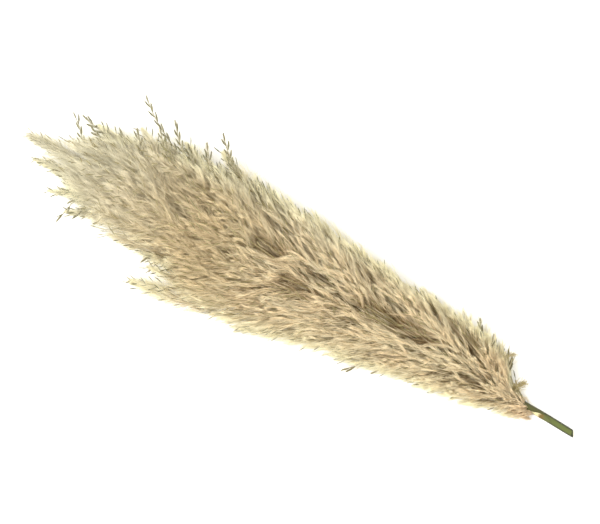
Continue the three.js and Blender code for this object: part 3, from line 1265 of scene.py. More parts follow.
@dataclass(frozen=True)
class Limb:
    """One limb of a spray, from where it parts from the branch to its tip."""

    begin: float
    end: float
    angle: float
    turn: float
    start: float
    sink: float
    spread: float
    trial_places: ClassVar[int] = 60
    least_kept: ClassVar[float] = 0.5

    @property
    def length(self) -> float:
        """How far it runs along the stem."""
        return self.end - self.begin

    def at(self, share: Array) -> tuple[Array, Array, Array]:
        """Places along the limb, which parts from the branch as 1 - (1 - share)^2.

        Args:
            share: shares of its length.

        Returns:
            The s, angle and start there.
        """
        parted = 1 - (1 - np.minimum(share, 1)) ** 2
        s = self.begin + self.length * share
        return s, self.angle + self.turn * parted, self.start + self.sink * parted

    def line(self, share: Array) -> Array:
        """The points at shares of its length."""
        return SHAPE.place(*self.at(share), np.array(self.spread))

    def trimmed(self, outline: float) -> "Limb":
        """The limb, ended where it would pass a share of the hair's outline, or at half its length.

        Args:
            outline: the share.

        Returns:
            The limb.
        """
        share = np.linspace(0, 1, self.trial_places)
        out = SHAPE.beyond(self.line(share))
        first_past = int(np.argmax(np.append(out > outline, True)))
        kept = max(share[max(first_past - 1, 0)], self.least_kept)
        return replace(self, end=self.begin + self.length * kept)


@dataclass(frozen=True)
class Undercoat:
    """Long stout hairs round a limb, below the locks' surface, which close the gaps between them."""

    per_mm: float = 0.3
    fuller: Steps = ((240.0, 320.0), (1.0, 1.35))
    roots: Pair = (0.05, 0.9)
    swing: float = 0.6
    spread: Pair = (0.68, 0.92)
    run: Pair = (22.0, 36.0)
    radius: Pair = (0.26, 0.4)
    outline: float = 0.86
    resting: float = 0.2
    tint: Pair = (0.2, 0.8)
    depth: float = 0.7

    def grow(self, parts: MeshParts, limb: Limb, reach: float, rng: Rng) -> None:
        """Adds the hairs, each of which runs with the branches' flow, at a share of the limb's spread.

        Args:
            parts: the mesh to add to.
            limb: the limb that they stand round.
            reach: half the angle that the spray fills.
            rng: where the draws come from.
        """
        n = round(self.per_mm * limb.length * np.interp(limb.begin, *self.fuller))
        s = limb.begin + limb.length * rng.uniform(*self.roots, n)
        _, angle, start = limb.at((s - limb.begin) / limb.length)
        angle = angle + rng.uniform(-self.swing, self.swing, n) * reach
        spread = limb.spread * rng.uniform(*self.spread, n)
        at_s = s[:, None] + rng.uniform(*self.run, n)[:, None] * HAIR_SHARES
        point = SHAPE.place(at_s, angle[:, None], start[:, None], spread[:, None])
        thick = rng.uniform(*self.radius, n)
        point = SHAPE.hold_in(point, np.full(n, self.outline))
        lay_down(point, thick + self.resting)
        add_spindles(
            parts, point, thick[:, None], 3, any_turn(rng, n), depth=self.depth, along=0.0,
            tint=rng.uniform(*self.tint, n), part=Part.HAIR.value,
        )


@dataclass(frozen=True)
class LockStyle:
    """How locks stand along a limb, in millimetres, radians and shares of the limb's length.

    Towards the limb's tip, past `shorter_from`, a lock is up to `shorter` less long. Bows are a middle value
    and its scatter.
    """

    first: float = 0.1
    last: float = 0.96
    leader_bare: float = 14.0
    spacing: float = 3.7
    fewest: int = 6
    jitter: float = 0.4
    length: Pair = (26.0, 46.0)
    shorter: float = 0.35
    shorter_from: float = 0.8
    shorter_over: float = 0.2
    width: Pair = (2.2, 4.4)
    width_by_scale: Pair = (0.55, 0.45)
    widen: float = 0.4
    turn: Pair = (0.05, 0.55)
    turn_more: Steps = ((330.0, 420.0), (1.0, 1.25))
    lift: Pair = (0.1, 1.7)
    bow_across: Pair = (0.0, 1.2)
    bow_out: Pair = (0.6, 1.0)
    tint: Pair = (0.1, 0.9)
    slack: Pair = (0.84, 1.0)

    def along(self, limb: Limb, spray: "Spray", rng: Rng) -> Locks:
        """The locks of one limb, a spacing apart and turned to either side in turn.

        Args:
            limb: the limb that they leave.
            spray: the spray that it belongs to.
            rng: where the draws come from.

        Returns:
            The locks, none of which passes the hair's outline by much.
        """
        last = self.last - (self.leader_bare / limb.length if spray.leads else 0)
        n = max(self.fewest, round(limb.length * (last - self.first) / self.spacing))
        moved = np.arange(n) + rng.uniform(-self.jitter, self.jitter, n)
        share = self.first + (last - self.first) * moved / n
        s, angle, start = limb.at(share)
        shoulder = 1 + spray.shoulder * np.maximum(np.cos(angle), 0)
        near_tip = np.clip((share - self.shorter_from) / self.shorter_over, 0, 1)
        thin, by_scale = self.width_by_scale
        length = rng.uniform(*self.length, n) * spray.scale * (1 - self.shorter * near_tip)
        locks = Locks(
            s=s,
            angle=angle,
            start=start,
            spread=np.full(n, limb.spread),
            widen=rng.uniform(0, self.widen, n) * (1 - limb.spread),
            length=length,
            turn=alternating(n) * rng.uniform(*self.turn, n) * spray.reach * np.interp(s, *self.turn_more),
            lift=rng.uniform(*self.lift, n) * spray.lift * shoulder,
            width=rng.uniform(*self.width, n) * (thin + by_scale * spray.scale),
            bow_across=rng.normal(*self.bow_across, n) * spray.scale,
            bow_out=rng.normal(*self.bow_out, n) * spray.scale,
            tint=rng.uniform(*self.tint, n),
            fullness=np.ones(n),
        )
        return locks.fitted(rng.uniform(*self.slack, n))


@dataclass(frozen=True)
class FootLocks:
    """The locks that hide the plume's foot, which starts bluntly and bulges towards -Y.

    They begin later by up to `later` on the +Y side, and their spread is a - b cos(angle).
    """

    count: int = 16
    hairs: int = 22
    begin: Pair = (40.0, 67.0)
    later: float = 13.0
    later_from: float = 0.6
    spread: Pair = (1.5, 0.7)
    length: Pair = (10.0, 30.0)
    turn: Pair = (-0.3, 0.3)
    lift: Pair = (14.0, 40.0)
    width: Pair = (0.6, 1.5)
    bow_across: Pair = (0.0, 0.6)
    bow_out: Pair = (0.8, 0.5)
    slack: Pair = (0.8, 1.0)

    def around(self, middle: float, reach: float, rng: Rng) -> Locks:
        """The locks of one spray's slice of the foot.

        Args:
            middle: the angle of the slice's middle.
            reach: half the angle that it fills.
            rng: where the draws come from.

        Returns:
            The locks.
        """
        n = self.count
        angle = middle + rng.uniform(-1, 1, n) * reach
        s = rng.uniform(*self.begin, n) + self.later * np.clip(self.later_from + np.cos(angle), 0, 1)
        wide, less = self.spread
        locks = Locks(
            s=s,
            angle=angle,
            start=s.copy(),
            spread=wide - less * np.cos(angle),
            widen=np.zeros(n),
            length=rng.uniform(*self.length, n),
            turn=rng.uniform(*self.turn, n),
            lift=rng.uniform(*self.lift, n),
            width=rng.uniform(*self.width, n),
            bow_across=rng.normal(*self.bow_across, n),
            bow_out=rng.normal(*self.bow_out, n),
            tint=rng.uniform(0, 1, n),
            fullness=np.ones(n),
        )
        return locks.fitted(rng.uniform(*self.slack, n))


@dataclass
class Spray:
    """One spray: its limbs, the branchlets on them with their hair, and the spikelets at their ends.

    `reach` is half the angle that it fills, `lift` the way to the ring before it, `scale` its locks' size,
    `leads` whether it runs long at the plume's side, and `shoulder` how much more its locks lift at +Y.
    """

    number: int
    limbs: list[Limb]
    reach: float
    lift: float
    scale: float
    leads: bool
    shoulder: float
    finish: bpy.types.Material
    wisps: list["Wisp"] = field(default_factory=list)
    tufts: list["Tuft"] = field(default_factory=list)
    stalk_stations: int = 12
    stalk_radius: Pair = (0.6, 0.4)
    stalk_resting: float = 0.7
    branchlet_stations: int = 4
    branchlet_end: float = 0.9
    branchlet_radius: float = 0.22
    branchlet_resting: float = 0.5
    depth_at: float = 0.6
    hairs: tuple[int, int] = (5, 40)
    hairs_by_depth: Pair = (0.3, 0.8)
    hairs_by_s: Steps = ((380.0, 480.0), (1.0, 1.15))
    hairs_beneath: float = 0.65
    beneath_sine: float = -0.4
    tail: float = 26.0
    tail_end: float = 2.0
    tail_spacing: float = 4.6
    tail_step: float = 0.02
    surface_chance: Steps = ((150.0, 300.0, 450.0), (0.08, 0.3, 0.55))
    surface_share: Pair = (0.55, 0.85)
    surface_step: float = 0.1
    surface_slack: Pair = (0.9, 1.08)
    surface_out: Pair = (-0.2, 0.8)
    lock_style: LockStyle = LockStyle()
    undercoat: Undercoat = Undercoat()
    foot: FootLocks = FootLocks()
    hair: HairStyle = HairStyle()
    foot_hair: HairStyle = HairStyle(length=(9.0, 20.0), stouter=((0.0, 0.6), (1.9, 1.2)), stray=0.5)
    spikelets: SpikeletStyle = SpikeletStyle()

    def build(self) -> bpy.types.Object:
        """Makes the spray as one piece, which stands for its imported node.

        Returns:
            The piece.
        """
        rng = np.random.default_rng(self.number)
        parts = MeshParts()
        for limb in self.limbs:
            self.add_stalk(parts, limb, rng)
            self.undercoat.grow(parts, limb, self.reach, np.random.default_rng([self.number, 2]))
            locks = self.lock_style.along(limb, self, rng)
            self.add_branchlets(parts, locks, rng)
            self.hair.grow(parts, locks, self.hairs_of(locks), rng)
            self.add_surface_spikelets(parts, locks, rng)
            self.add_end_spikelets(parts, limb, rng)
        if self.shoulder:
            locks = self.foot.around(self.limbs[1].angle, self.reach, rng)
            self.foot_hair.grow(parts, locks, np.full(len(locks.s), self.foot.hairs), rng)
        for grown in [*self.wisps, *self.tufts]:
            grown.grow(parts, rng)
        piece = parts.build(f"hair_spray_{self.number:02d}")
        dress(piece, self.finish, Slot.PLUME, f"spray_{self.number:02d}")
        return piece

    def hairs_of(self, locks: Locks) -> Array:
        """How many hairs each lock has: more further out and towards the tip, and fewer beneath.

        Args:
            locks: the locks.

        Returns:
            The whole numbers.
        """
        s = locks.s + locks.length * self.depth_at
        depth = SHAPE.outness(s, locks.start - locks.lift * self.depth_at)
        counts = np.interp(depth, self.hairs_by_depth, self.hairs) * locks.fullness
        beneath = np.where(np.sin(locks.angle) < self.beneath_sine, self.hairs_beneath, 1)
        counts *= beneath * np.interp(locks.s, *self.hairs_by_s)
        return np.round(counts).astype(int)

    def add_stalk(self, parts: MeshParts, limb: Limb, rng: Rng) -> None:
        """The limb's own stalk, whose radius is a - b times the share of its length.

        Args:
            parts: the mesh to add to.
            limb: the limb.
            rng: where the draws come from.
        """
        share = np.linspace(0, 1, self.stalk_stations)[None]
        point = limb.line(share)
        lay_down(point, self.stalk_resting)
        thick, thinner = self.stalk_radius
        add_spindles(
            parts, point, thick - thinner * share[:, 1:-1], 4, any_turn(rng, 1), depth=0.5, along=share,
            tint=0.5, part=Part.STALK.value,
        )

    def add_branchlets(self, parts: MeshParts, locks: Locks, rng: Rng) -> None:
        """The thin branchlet in the middle of each lock.

        Args:
            parts: the mesh to add to.
            locks: the locks.
            rng: where the draws come from.
        """
        n, stations = len(locks.s), self.branchlet_stations
        u = np.broadcast_to(np.linspace(0, self.branchlet_end, stations), (n, stations))
        point, _, _, _, depth = locks.at(u)
        point = SHAPE.hold_in(point, np.ones(n))
        lay_down(point, self.branchlet_resting)
        radius = np.full((n, stations - 2), self.branchlet_radius)
        add_spindles(
            parts, point, radius, 3, any_turn(rng, n), depth=depth, along=u, tint=locks.tint,
            part=Part.STALK.value,
        )

    def add_surface_spikelets(self, parts: MeshParts, locks: Locks, rng: Rng) -> None:
        """One spikelet near the end of some locks, more of them towards the plume's tip.

        Args:
            parts: the mesh to add to.
            locks: the locks.
            rng: where the draws come from.
        """
        chosen = rng.uniform(size=len(locks.s)) < np.interp(locks.s, *self.surface_chance)
        some = locks.repeated(chosen.astype(int))
        n = len(some.s)
        u = rng.uniform(*self.surface_share, n)[:, None]
        point, across, out, _, depth = some.at(np.concatenate([u, u + self.surface_step], axis=1))
        point = SHAPE.hold_in(point, rng.uniform(*self.surface_slack, n))
        sign = np.where(rng.uniform(size=n) < 0.5, 1.0, -1.0)[:, None]
        aside = unit(sign * across[:, 0] + rng.uniform(*self.surface_out, n)[:, None] * out[:, 0])
        self.spikelets.grow(parts, point[:, 0], unit(point[:, 1] - point[:, 0]), aside, rng, depth[:, 0])

    def add_end_spikelets(self, parts: MeshParts, limb: Limb, rng: Rng) -> None:
        """Two rows of spikelets along the end of a limb, standing off to either side in turn.

        Args:
            parts: the mesh to add to.
            limb: the limb.
            rng: where the draws come from.
        """
        n = round(self.tail / self.tail_spacing)
        share = 1 - np.linspace(self.tail, self.tail_end, n) / limb.length
        _, angle, _ = limb.at(share)
        point = limb.line(share)
        along = unit(limb.line(share + self.tail_step) - point)
        self.spikelets.grow(parts, point, along, alternating(n)[:, None] * round_stem(angle), rng)


@dataclass(frozen=True)
class Wisp:
    """A thin branchlet that stands out of the hair, with spikelets on short stalks to either side in turn.

    It leaves a limb at `root`, bends outwards, and ends at its tip, which leans out from the stem's line.
    """

    root: Array
    tip: Array
    lean: float
    length: float
    spacing: float = 4.2
    bare: float = 0.15
    last: float = 8.5
    radius: Pair = (0.45, 0.35)
    stations: int = 10
    scatter: float = 0.3
    tip_aside: float = 0.2
    base_lean: ClassVar[float] = 0.75
    base_rise: ClassVar[float] = -0.1
    leaving: Pair = (0.35, 0.2)
    arriving: float = 0.4
    hairs: int = 19
    hair_run: Pair = (7.0, 14.0)
    hair_away: float = 0.28
    hair_radius: float = 0.08
    hair_resting: float = 0.5
    hair_turn: float = 6.28
    hair_depth: float = 1.2
    hair_tint: Pair = (0.0, 0.5)
    hair_edge: float = 0.5
    spikelets: SpikeletStyle = SpikeletStyle(
        length=(8.5, 12.0), radius=(0.85, 1.15), stations=(0, 0.15, 0.45, 0.82, 1), sides=5,
        slant=(0.28, 0.6), least_edge=0.95,
    )

    @staticmethod
    def direction(lean: float, rise: float = 0.0) -> Array:
        """The unit vector that leans from the stem's line by an angle, towards +Y where it is positive."""
        return unit(np.array([-math.cos(lean), math.sin(lean), rise]))

    @classmethod
    def base_of(cls, tip: Array, lean: float, length: float) -> Array:
        """Where a wisp with this tip would like to leave its limb."""
        return tip - length * cls.direction(lean * cls.base_lean, cls.base_rise)

    def path(self, t: Array) -> Array:
        """Points of the cubic that leaves the limb along the stem and arrives at the tip with its lean.

        Args:
            t: shares of the way.

        Returns:
            The points, of shape (places, 3).
        """
        handle, lean = self.leaving
        leaving = self.root + handle * self.length * self.direction(self.lean * lean)
        arriving = self.tip - self.arriving * self.length * self.direction(self.lean)
        t = np.asarray(t)[:, None]
        first_half = (1 - t) ** 3 * self.root + 3 * t * (1 - t) ** 2 * leaving
        return first_half + 3 * t**2 * (1 - t) * arriving + t**3 * self.tip

    def grow(self, parts: MeshParts, rng: Rng) -> None:
        """Adds the branchlet, its spikelets and the fine hair round each of them.

        Args:
            parts: the mesh to add to.
            rng: where the draws come from.
        """
        line = self.path(np.linspace(0, 1, self.stations))
        width = np.linspace(*self.radius, self.stations - 2)[None]
        add_spindles(
            parts, line[None], width, 4, np.zeros(1), depth=1.0, along=1.0, tint=0.5,
            part=Part.WISP.value, edge=1.0,
        )
        n = max(2, round(self.length * (1 - self.bare) / self.spacing) - 1)
        foot, along, across = beside(self.path, np.linspace(self.bare, 1 - self.last / self.length, n))
        aside = unit(alternating(n)[:, None] * across + rng.normal(0, self.scatter, (n, 3)))
        aside[-1] *= self.tip_aside
        self.spikelets.grow(parts, foot, along, aside, rng)
        self.add_hair(parts, foot, along, rng)

    def add_hair(self, parts: MeshParts, foot: Array, along: Array, rng: Rng) -> None:
        """Fine hairs that leave each spikelet's foot in all directions and bend forwards.

        At a share v of its run, a hair is hair_away v (1.4 - 0.4 v) of the run away from its branchlet.

        Args:
            parts: the mesh to add to.
            foot: the spikelets' feet.
            along: the branchlet's direction at each.
            rng: where the draws come from.
        """
        n = len(foot) * self.hairs
        foot, along = np.repeat(foot, self.hairs, axis=0), np.repeat(along, self.hairs, axis=0)
        away = rng.normal(0, 1, (n, 3))
        run = rng.uniform(*self.hair_run, n)[:, None, None]
        v = HAIR_SHARES[None, :, None]
        fan = self.hair_away * v * (1.4 - 0.4 * v)
        line = foot[:, None] + run * (v * along[:, None] + fan * away[:, None])
        lay_down(line, self.hair_resting)
        add_spindles(
            parts, line, np.full((n, 1), self.hair_radius), 3, rng.uniform(0, self.hair_turn, n),
            depth=self.hair_depth, along=v[..., 0], tint=rng.uniform(*self.hair_tint, n),
            part=Part.HAIR.value, edge=self.hair_edge,
        )


@dataclass(frozen=True)
class Tuft:
    """A pointed tuft of hair that stands out of the plume's outline.

    It leaves a limb at `root`, makes for `bend` and ends at its tip, narrowing from `width` to nothing.
    """

    root: Array
    bend: Array
    tip: Array
    width: float
    hairs: int
    roots_end: float = 0.85
    furthest: float = 1.04
    run: Pair = (12.0, 24.0)
    radius: Pair = (0.09, 0.17)
    stray: float = 1.0
    loose_share: float = 0.15
    looser: float = 1.8
    narrowing: float = 0.6
    narrowest: float = 0.02
    resting: float = 0.3
    tint: Pair = (0.3, 1.0)
    # How much of the painted glow at the plume's sides the tuft's hairs take.
    pale: float = 0.8
    edge_end: float = 1.2
    part: Part = Part.HAIR
    spikelet_count: int = 9
    spikelet_places: Pair = (0.35, 0.98)
    spikelet_side: Pair = (0.1, 0.75)
    spikelet_rise: Pair = (0.5, 1.1)
    spikelet_scatter: float = 0.3
    spikelets: SpikeletStyle = SpikeletStyle(
        length=(6.0, 10.0), radius=(0.5, 0.8), slant=(0.4, 1.1), least_edge=0.84
    )

    def path(self, t: Array) -> Array:
        """Points of the quadratic curve, which runs on past the tip in a straight line.

        Args:
            t: shares of the way, past 1 beyond the tip.

        Returns:
            The points, with x, y and z on a last axis of their own.
        """
        held = np.minimum(t, 1)[..., None]
        point = (1 - held) ** 2 * self.root + 2 * held * (1 - held) * self.bend + held**2 * self.tip
        return point + np.maximum(t - 1, 0)[..., None] * 2 * (self.tip - self.bend)

    def narrowed(self, t: Array) -> Array:
        """What is left of the width at t: (1 - t)^narrowing, with 1 - t no less than narrowest."""
        return np.maximum(1 - t, self.narrowest) ** self.narrowing

    def grow(self, parts: MeshParts, rng: Rng) -> None:
        """Adds the hairs, each of which leaves the curve at a slant, and then the spikelets.

        At t along the curve, a hair that has run a share v of its length is away from it by
        width r v (1.5 - 0.5 v) (1 - t)^narrowing, where r is drawn for each hair.

        Args:
            parts: the mesh to add to.
            rng: where the draws come from.
        """
        n, v = self.hairs, HAIR_SHARES
        size = np.linalg.norm(self.tip - self.root)
        t = rng.uniform(0, self.roots_end, n)[:, None] + rng.uniform(*self.run, n)[:, None] / size * v
        t = np.minimum(t, self.furthest)
        away = rng.normal(0, 1, (n, 3))
        away = away * np.where(rng.uniform(size=n) < self.loose_share, self.looser, 1.0)[:, None]
        off = self.width * v * (1.5 - 0.5 * v) * self.narrowed(t)
        point = self.path(t) + off[..., None] * away[:, None]
        point = point + rng.normal(0, self.stray, (n, 3, 3)) * v[:, None]
        thick = rng.uniform(*self.radius, n)
        lay_down(point, thick + self.resting)
        add_spindles(
            parts, point, thick[:, None], 3, any_turn(rng, n), depth=1.0, along=v[None],
            tint=rng.uniform(*self.tint, n), part=self.part.value,
            edge=np.minimum(SHAPE.sideways(point), self.edge_end) * self.pale,
        )
        self.add_spikelets(parts, rng)

    def add_spikelets(self, parts: MeshParts, rng: Rng) -> None:
        """Slim spikelets over the tuft's outer part, which lean to either side.

        Args:
            parts: the mesh to add to.
            rng: where the draws come from.
        """
        n = self.spikelet_count
        t = np.linspace(*self.spikelet_places, n)
        foot, along, across = beside(self.path, t)
        off = self.width * self.narrowed(t)
        sign = alternating(n)
        foot = foot + (off * sign * rng.uniform(*self.spikelet_side, n))[:, None] * across
        foot[:, 2] += off * rng.uniform(*self.spikelet_rise, n)
        aside = unit(sign[:, None] * across + rng.normal(0, self.spikelet_scatter, (n, 3)))
        self.spikelets.grow(parts, foot, along, aside, rng)


@dataclass
class Plume:
    """All sprays: rings of them along the stalk, and the last one on its end.

    A ring is its s, how many sprays it has and their spread. A wisp is its tip's s, y and z, its lean and
    its length. A tuft is the s, y and z of its root, bend and tip, and its width and number of hairs. Both
    leave a limb at one of its joints, which are so many places between two shares of its length.
    """

    rings: tuple[tuple[float, int, float], ...] = (
        (49, 4, 1), (65, 4, 1), (81, 5, 1), (102, 5, 1), (127, 5, 1), (156, 5, 1), (188, 5, 1), (222, 5, 1),
        (258, 5, 1), (296, 5, 1), (335, 4, 0.95), (373, 5, 0.55),
    )
    first_lift: float = 20.0
    ring_turn: float = 0.62
    slice: float = 0.9
    usual_overhang: float = 9.0
    under_overhang: float = 8.0
    leader_overhang: float = 34.0
    under_sine: float = -0.5
    leading_rings: int = 7
    leader_turn: float = 0.75
    side_swing: float = 0.52
    side_leaves: float = 0.26
    side_depth: float = 0.3
    side_ends: Pair = (0.82, 0.95)
    short_branch: float = 120.0
    least_scale: float = 0.6
    tip_limbs: int = 6
    tip_start: float = 402.0
    tip_end: float = 620.0
    tip_shorter: float = 30.0
    tip_spread: Pair = (0.12, 0.36)
    tip_lift: float = 40.0
    limb_outline: float = 0.94
    joints: tuple[float, float, int] = (0.3, 0.95, 30)
    shoulder: float = 1.6
    shoulder_rings: int = 3
    wisps: tuple[tuple[float, float, float, float, float], ...] = (
        (619, -3, 40, 0.1, 40), (603, -20, 36, -0.35, 36), (597, -22, 32, -0.5, 30), (593, 40, 44, 0.5, 42),
        (581, 43, 38, 0.6, 42), (570, 36, 52, 0.5, 36), (559, 41, 48, 0.7, 36), (562, 26, 58, 0.4, 36),
        (545, 48, 40, 0.6, 36), (539, 91, 44, 0.78, 62), (531, 57, 52, 0.55, 36), (512, 70, 50, 0.7, 36),
        (500, 83, 46, 0.95, 48), (498, 60, 66, 0.8, 36), (478, 68, 50, 0.8, 36), (459, 70, 56, 0.8, 34),
        (453, 93, 42, 0.66, 52), (463, 78, 46, 0.75, 36), (440, 80, 44, 0.7, 36), (401, 72, 50, 0.8, 30),
        (575, -41, 34, -0.4, 36), (556, -70, 30, -1.2, 24), (551, -51, 36, -0.1, 36),
        (493, -54, 40, -0.9, 19),
        (462, -60, 44, -1.1, 18), (453, -67, 38, -0.8, 18), (443, -84, 26, -0.5, 22),
        (235, -58, 20, -0.8, 26), (208, -45, 24, -0.7, 22), (158, -32, 14, -0.6, 20), (140, 58, 24, 0.7, 26),
        (120, 51, 30, 0.8, 22), (100, 49, 22, 1.0, 20), (89, 42, 24, 1.5, 18),
    )
    tufts: tuple[tuple[tuple[float, ...], ...], ...] = (
        ((560, 2, 36), (592, 4, 38), (620, -3, 38), (9.0, 700)),
        ((548, -12, 34), (578, -16, 36), (604, -21, 34), (8.0, 650)),
        ((520, -24, 34), (552, -32, 34), (577, -41, 34), (7.0, 500)),
        ((505, -34, 32), (532, -44, 32), (552, -51, 32), (7.0, 500)),
        ((372, -62, 34), (425, -77, 32), (467, -82, 31), (10.0, 1000)),
        ((405, -62, 36), (436, -72, 34), (462, -79, 32), (8.0, 350)),
        ((470, -30, 40), (498, -37, 44), (530, -44, 40), (9.0, 300)),
        ((505, 0, 60), (530, -1, 77), (562, -2, 80), (9.0, 250)),
        ((470, -4, 72), (494, -5, 89), (526, -7, 93), (9.0, 250)),
        ((460, 30, 60), (480, 36, 78), (506, 42, 80), (8.0, 240)),
        ((480, 38, 44), (502, 50, 46), (523, 58, 48), (11.0, 500)),
        ((440, 50, 44), (460, 60, 44), (478, 66, 46), (10.0, 500)),
        ((450, 38, 46), (474, 47, 46), (500, 57, 48), (9.0, 500)),
        ((520, 28, 46), (541, 36, 46), (562, 40, 46), (10.0, 500)),
        ((395, 52, 44), (418, 62, 44), (442, 76, 44), (9.0, 600)),
        ((430, -34, 42), (465, -43, 48), (503, -50, 44), (11.0, 800)),
        ((400, -50, 42), (425, -57, 42), (452, -59, 38), (8.0, 500)),
        ((384, 0, 84), (404, -3, 95), (432, -5, 100), (9.0, 320)),
        ((402, 14, 84), (424, 14, 94), (450, 14, 98), (8.0, 260)),
    )
    foot_tufts: tuple[tuple[tuple[float, ...], ...], ...] = (
        ((66, -13, 12), (55, -11, 8), (45, -7, 6), (2.0, 260)),
    )
    tan_tufts: tuple[tuple[tuple[float, ...], ...], ...] = (
        ((76, 8, 20), (74, 15, 20), (67, 22, 19), (4.2, 220)),
        ((104, 28, 24), (97, 36, 24), (90, 43, 22), (3.5, 130)),
    )

    def build(self) -> list[bpy.types.Object]:
        """Makes every spray.

        Returns:
            The pieces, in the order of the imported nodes.
        """
        finish = PlumeFinish().material()
        sprays = []
        previous = self.rings[0][0] - self.first_lift
        for ring, (start, count, spread) in enumerate(self.rings):
            for i in range(count):
                angle = (i + ring * self.ring_turn) / count * TURN
                reach, lift = self.slice * math.pi / count, start - previous
                leads = ring >= self.leading_rings and abs(math.sin(angle)) < math.sin(self.leader_turn)
                limbs = self.limbs_of(start, angle, reach, spread, lift, leads, len(sprays))
                scale = min(max(float(SHAPE.branch_length(start)) / self.short_branch, self.least_scale), 1)
                shoulder = self.shoulder if ring < self.shoulder_rings else 0
                sprays.append(Spray(len(sprays) + 1, limbs, reach, lift, scale, leads, shoulder, finish))
            previous = start
        sprays.append(self.tip_spray(len(sprays) + 1, finish))
        self.share_out(sprays)
        return [spray.build() for spray in sprays]

    def share_out(self, sprays: list[Spray]) -> None:
        """Gives each wisp and tuft to the limb that passes nearest to where it would like to start.

        Args:
            sprays: all sprays of the plume.
        """
        owners = [spray for spray in sprays for _ in spray.limbs]
        share = np.linspace(*self.joints)
        points = np.stack([limb.line(share) for spray in sprays for limb in spray.limbs])

        def nearest(place: Array) -> tuple[Spray, Array]:
            """The limb's point that is nearest to a place.

            Args:
                place: the place.

            Returns:
                The spray that the limb belongs to, and the point.
            """
            away = np.linalg.norm(points - place, axis=-1)
            limb, joint = np.unravel_index(np.argmin(away), away.shape)
            return owners[limb], points[limb, joint]

        for s, y, z, lean, length in self.wisps:
            tip = np.array([SHAPE.cut_end_x - s, y, z])
            owner, root = nearest(Wisp.base_of(tip, lean, length))
            owner.wisps.append(Wisp(root, tip, lean, length))
        # Bushy tufts take less of the painted glow at the plume's sides.
        bushy = {
            "radius": (0.13, 0.22), "run": (6.0, 12.0), "narrowing": 0.2, "pale": 0.35, "spikelet_count": 0,
        }
        kinds = [(self.tufts, {}), (self.foot_tufts, bushy), (self.tan_tufts, bushy | {"part": Part.STALK})]
        for table, look in kinds:
            for *places, (width, hairs) in table:
                wanted, bend, tip = (np.array([SHAPE.cut_end_x - s, y, z]) for s, y, z in places)
                owner, root = nearest(wanted)
                owner.tufts.append(Tuft(root, bend, tip, width, hairs, **look))

    def limbs_of(
        self, start: float, angle: float, reach: float, spread: float, lift: float, leads: bool, seed: int
    ) -> list[Limb]:
        """The branch itself and the two limbs beside it, which part from it and lie deeper.

        Args:
            start: where the branch leaves the stalk.
            angle: its direction round the stem.
            reach: half the angle that the spray fills.
            spread: how far it may spread, as a share of the outline's reach.
            lift: the way to the ring before it.
            leads: whether it runs long at the plume's side.
            seed: what the limbs' draws start from.

        Returns:
            The limbs, with the branch in the middle.
        """
        overhang = self.under_overhang if math.sin(angle) < self.under_sine else self.usual_overhang
        if leads:
            overhang = self.leader_overhang
        tip = start + float(SHAPE.branch_length(start)) + overhang
        rng = np.random.default_rng([seed, 1])
        limbs = []
        for side in (-1, 0, 1):
            begin = start + (tip - start) * self.side_leaves * abs(side)
            end = begin + (tip - begin) * (rng.uniform(*self.side_ends) if side else 1)
            turn, sink = side * self.side_swing * reach, self.side_depth * lift * abs(side)
            limbs.append(Limb(begin, end, angle, turn, start, sink, spread).trimmed(self.limb_outline))
        return limbs

    def tip_spray(self, number: int, finish: bpy.types.Material) -> Spray:
        """The spray on the stalk's end, with limbs all round it, every other one close to the middle.

        Args:
            number: its number.
            finish: what it is made of.

        Returns:
            The spray.
        """
        reach = math.pi / self.tip_limbs
        limbs = []
        for i in range(self.tip_limbs):
            end = self.tip_end - (i % 2) * self.tip_shorter
            angle = i * TURN / self.tip_limbs
            limb = Limb(STALK_END, end, angle, 0, self.tip_start, 0, self.tip_spread[i % 2])
            limbs.append(limb.trimmed(self.limb_outline))
        return Spray(number, limbs, reach, self.tip_lift, 1.0, True, 0, finish)


# Studio


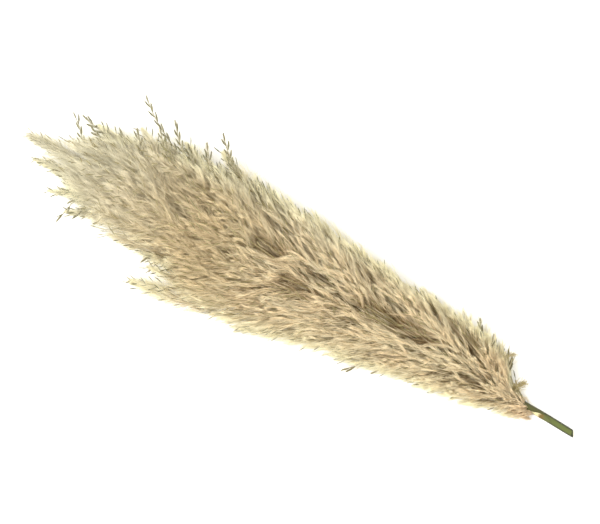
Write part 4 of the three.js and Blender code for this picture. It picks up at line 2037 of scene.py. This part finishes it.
@dataclass
class Studio:
    """The floor, the light and the camera, which looks straight down as the photo's does."""

    turn: float = math.radians(29.05)
    photo_width_mm: float = 596.0
    middle: Triple = (-12.7, 18.7, 45.0)
    lens: float = 180.0
    sensor: float = 36.0
    floor_size: float = 30.0
    sky: float = 1.38
    key_power: float = 34.0
    key_size: float = 0.9
    key_place: Triple = (-0.6, -0.25, 1.8)

    def build(self) -> None:
        """Makes everything that isn't part of the object."""
        self.add_floor()
        self.add_light()
        self.add_camera()

    def add_floor(self) -> None:
        """A level square under the plume."""
        half = self.floor_size / 2 / MM
        corners = np.array([[-half, -half, 0], [half, -half, 0], [half, half, 0], [-half, half, 0]])
        parts = MeshParts()
        parts.add(corners, np.array([[0, 1, 2], [0, 2, 3]]))
        floor = parts.build("floor", smooth=False)
        floor.data.materials.append(FloorFinish().material())

    def add_light(self) -> None:
        """A white sky, and one large soft lamp above and to the side."""
        world = bpy.data.worlds.new("studio")
        world.use_nodes = True
        background = world.node_tree.nodes["Background"]
        background.inputs["Color"].default_value = (1.0, 1.0, 1.0, 1.0)
        background.inputs["Strength"].default_value = self.sky
        bpy.context.scene.world = world
        lamp = bpy.data.lights.new("key", "AREA")
        lamp.energy = self.key_power
        lamp.size = self.key_size
        made = bpy.data.objects.new("key", lamp)
        made.location = self.key_place
        aim = Vector(self.middle) * MM - made.location
        made.rotation_euler = aim.to_track_quat("-Z", "Y").to_euler()
        bpy.context.scene.collection.objects.link(made)

    def add_camera(self) -> None:
        """A camera that holds the photo's width at the height of the stalk."""
        data = bpy.data.cameras.new("camera")
        data.lens, data.sensor_width = self.lens, self.sensor
        made = bpy.data.objects.new("camera", data)
        x, y, z = (value * MM for value in self.middle)
        made.location = (x, y, z + self.photo_width_mm * MM * self.lens / self.sensor)
        made.rotation_euler = (0, 0, self.turn)
        bpy.context.scene.collection.objects.link(made)
        bpy.context.scene.camera = made
        bpy.context.scene.view_settings.view_transform = "Standard"


def main() -> None:
    """Builds the pieces in order."""
    logging.basicConfig(level=logging.INFO, format="%(name)s: %(message)s")
    Studio().build()
    Stem().build()
    Bract().build()
    pieces = Plume().build()
    LOG.info("%d sprays, %d triangles", len(pieces), sum(len(piece.data.polygons) for piece in pieces))


if __name__ == "__main__":
    main()
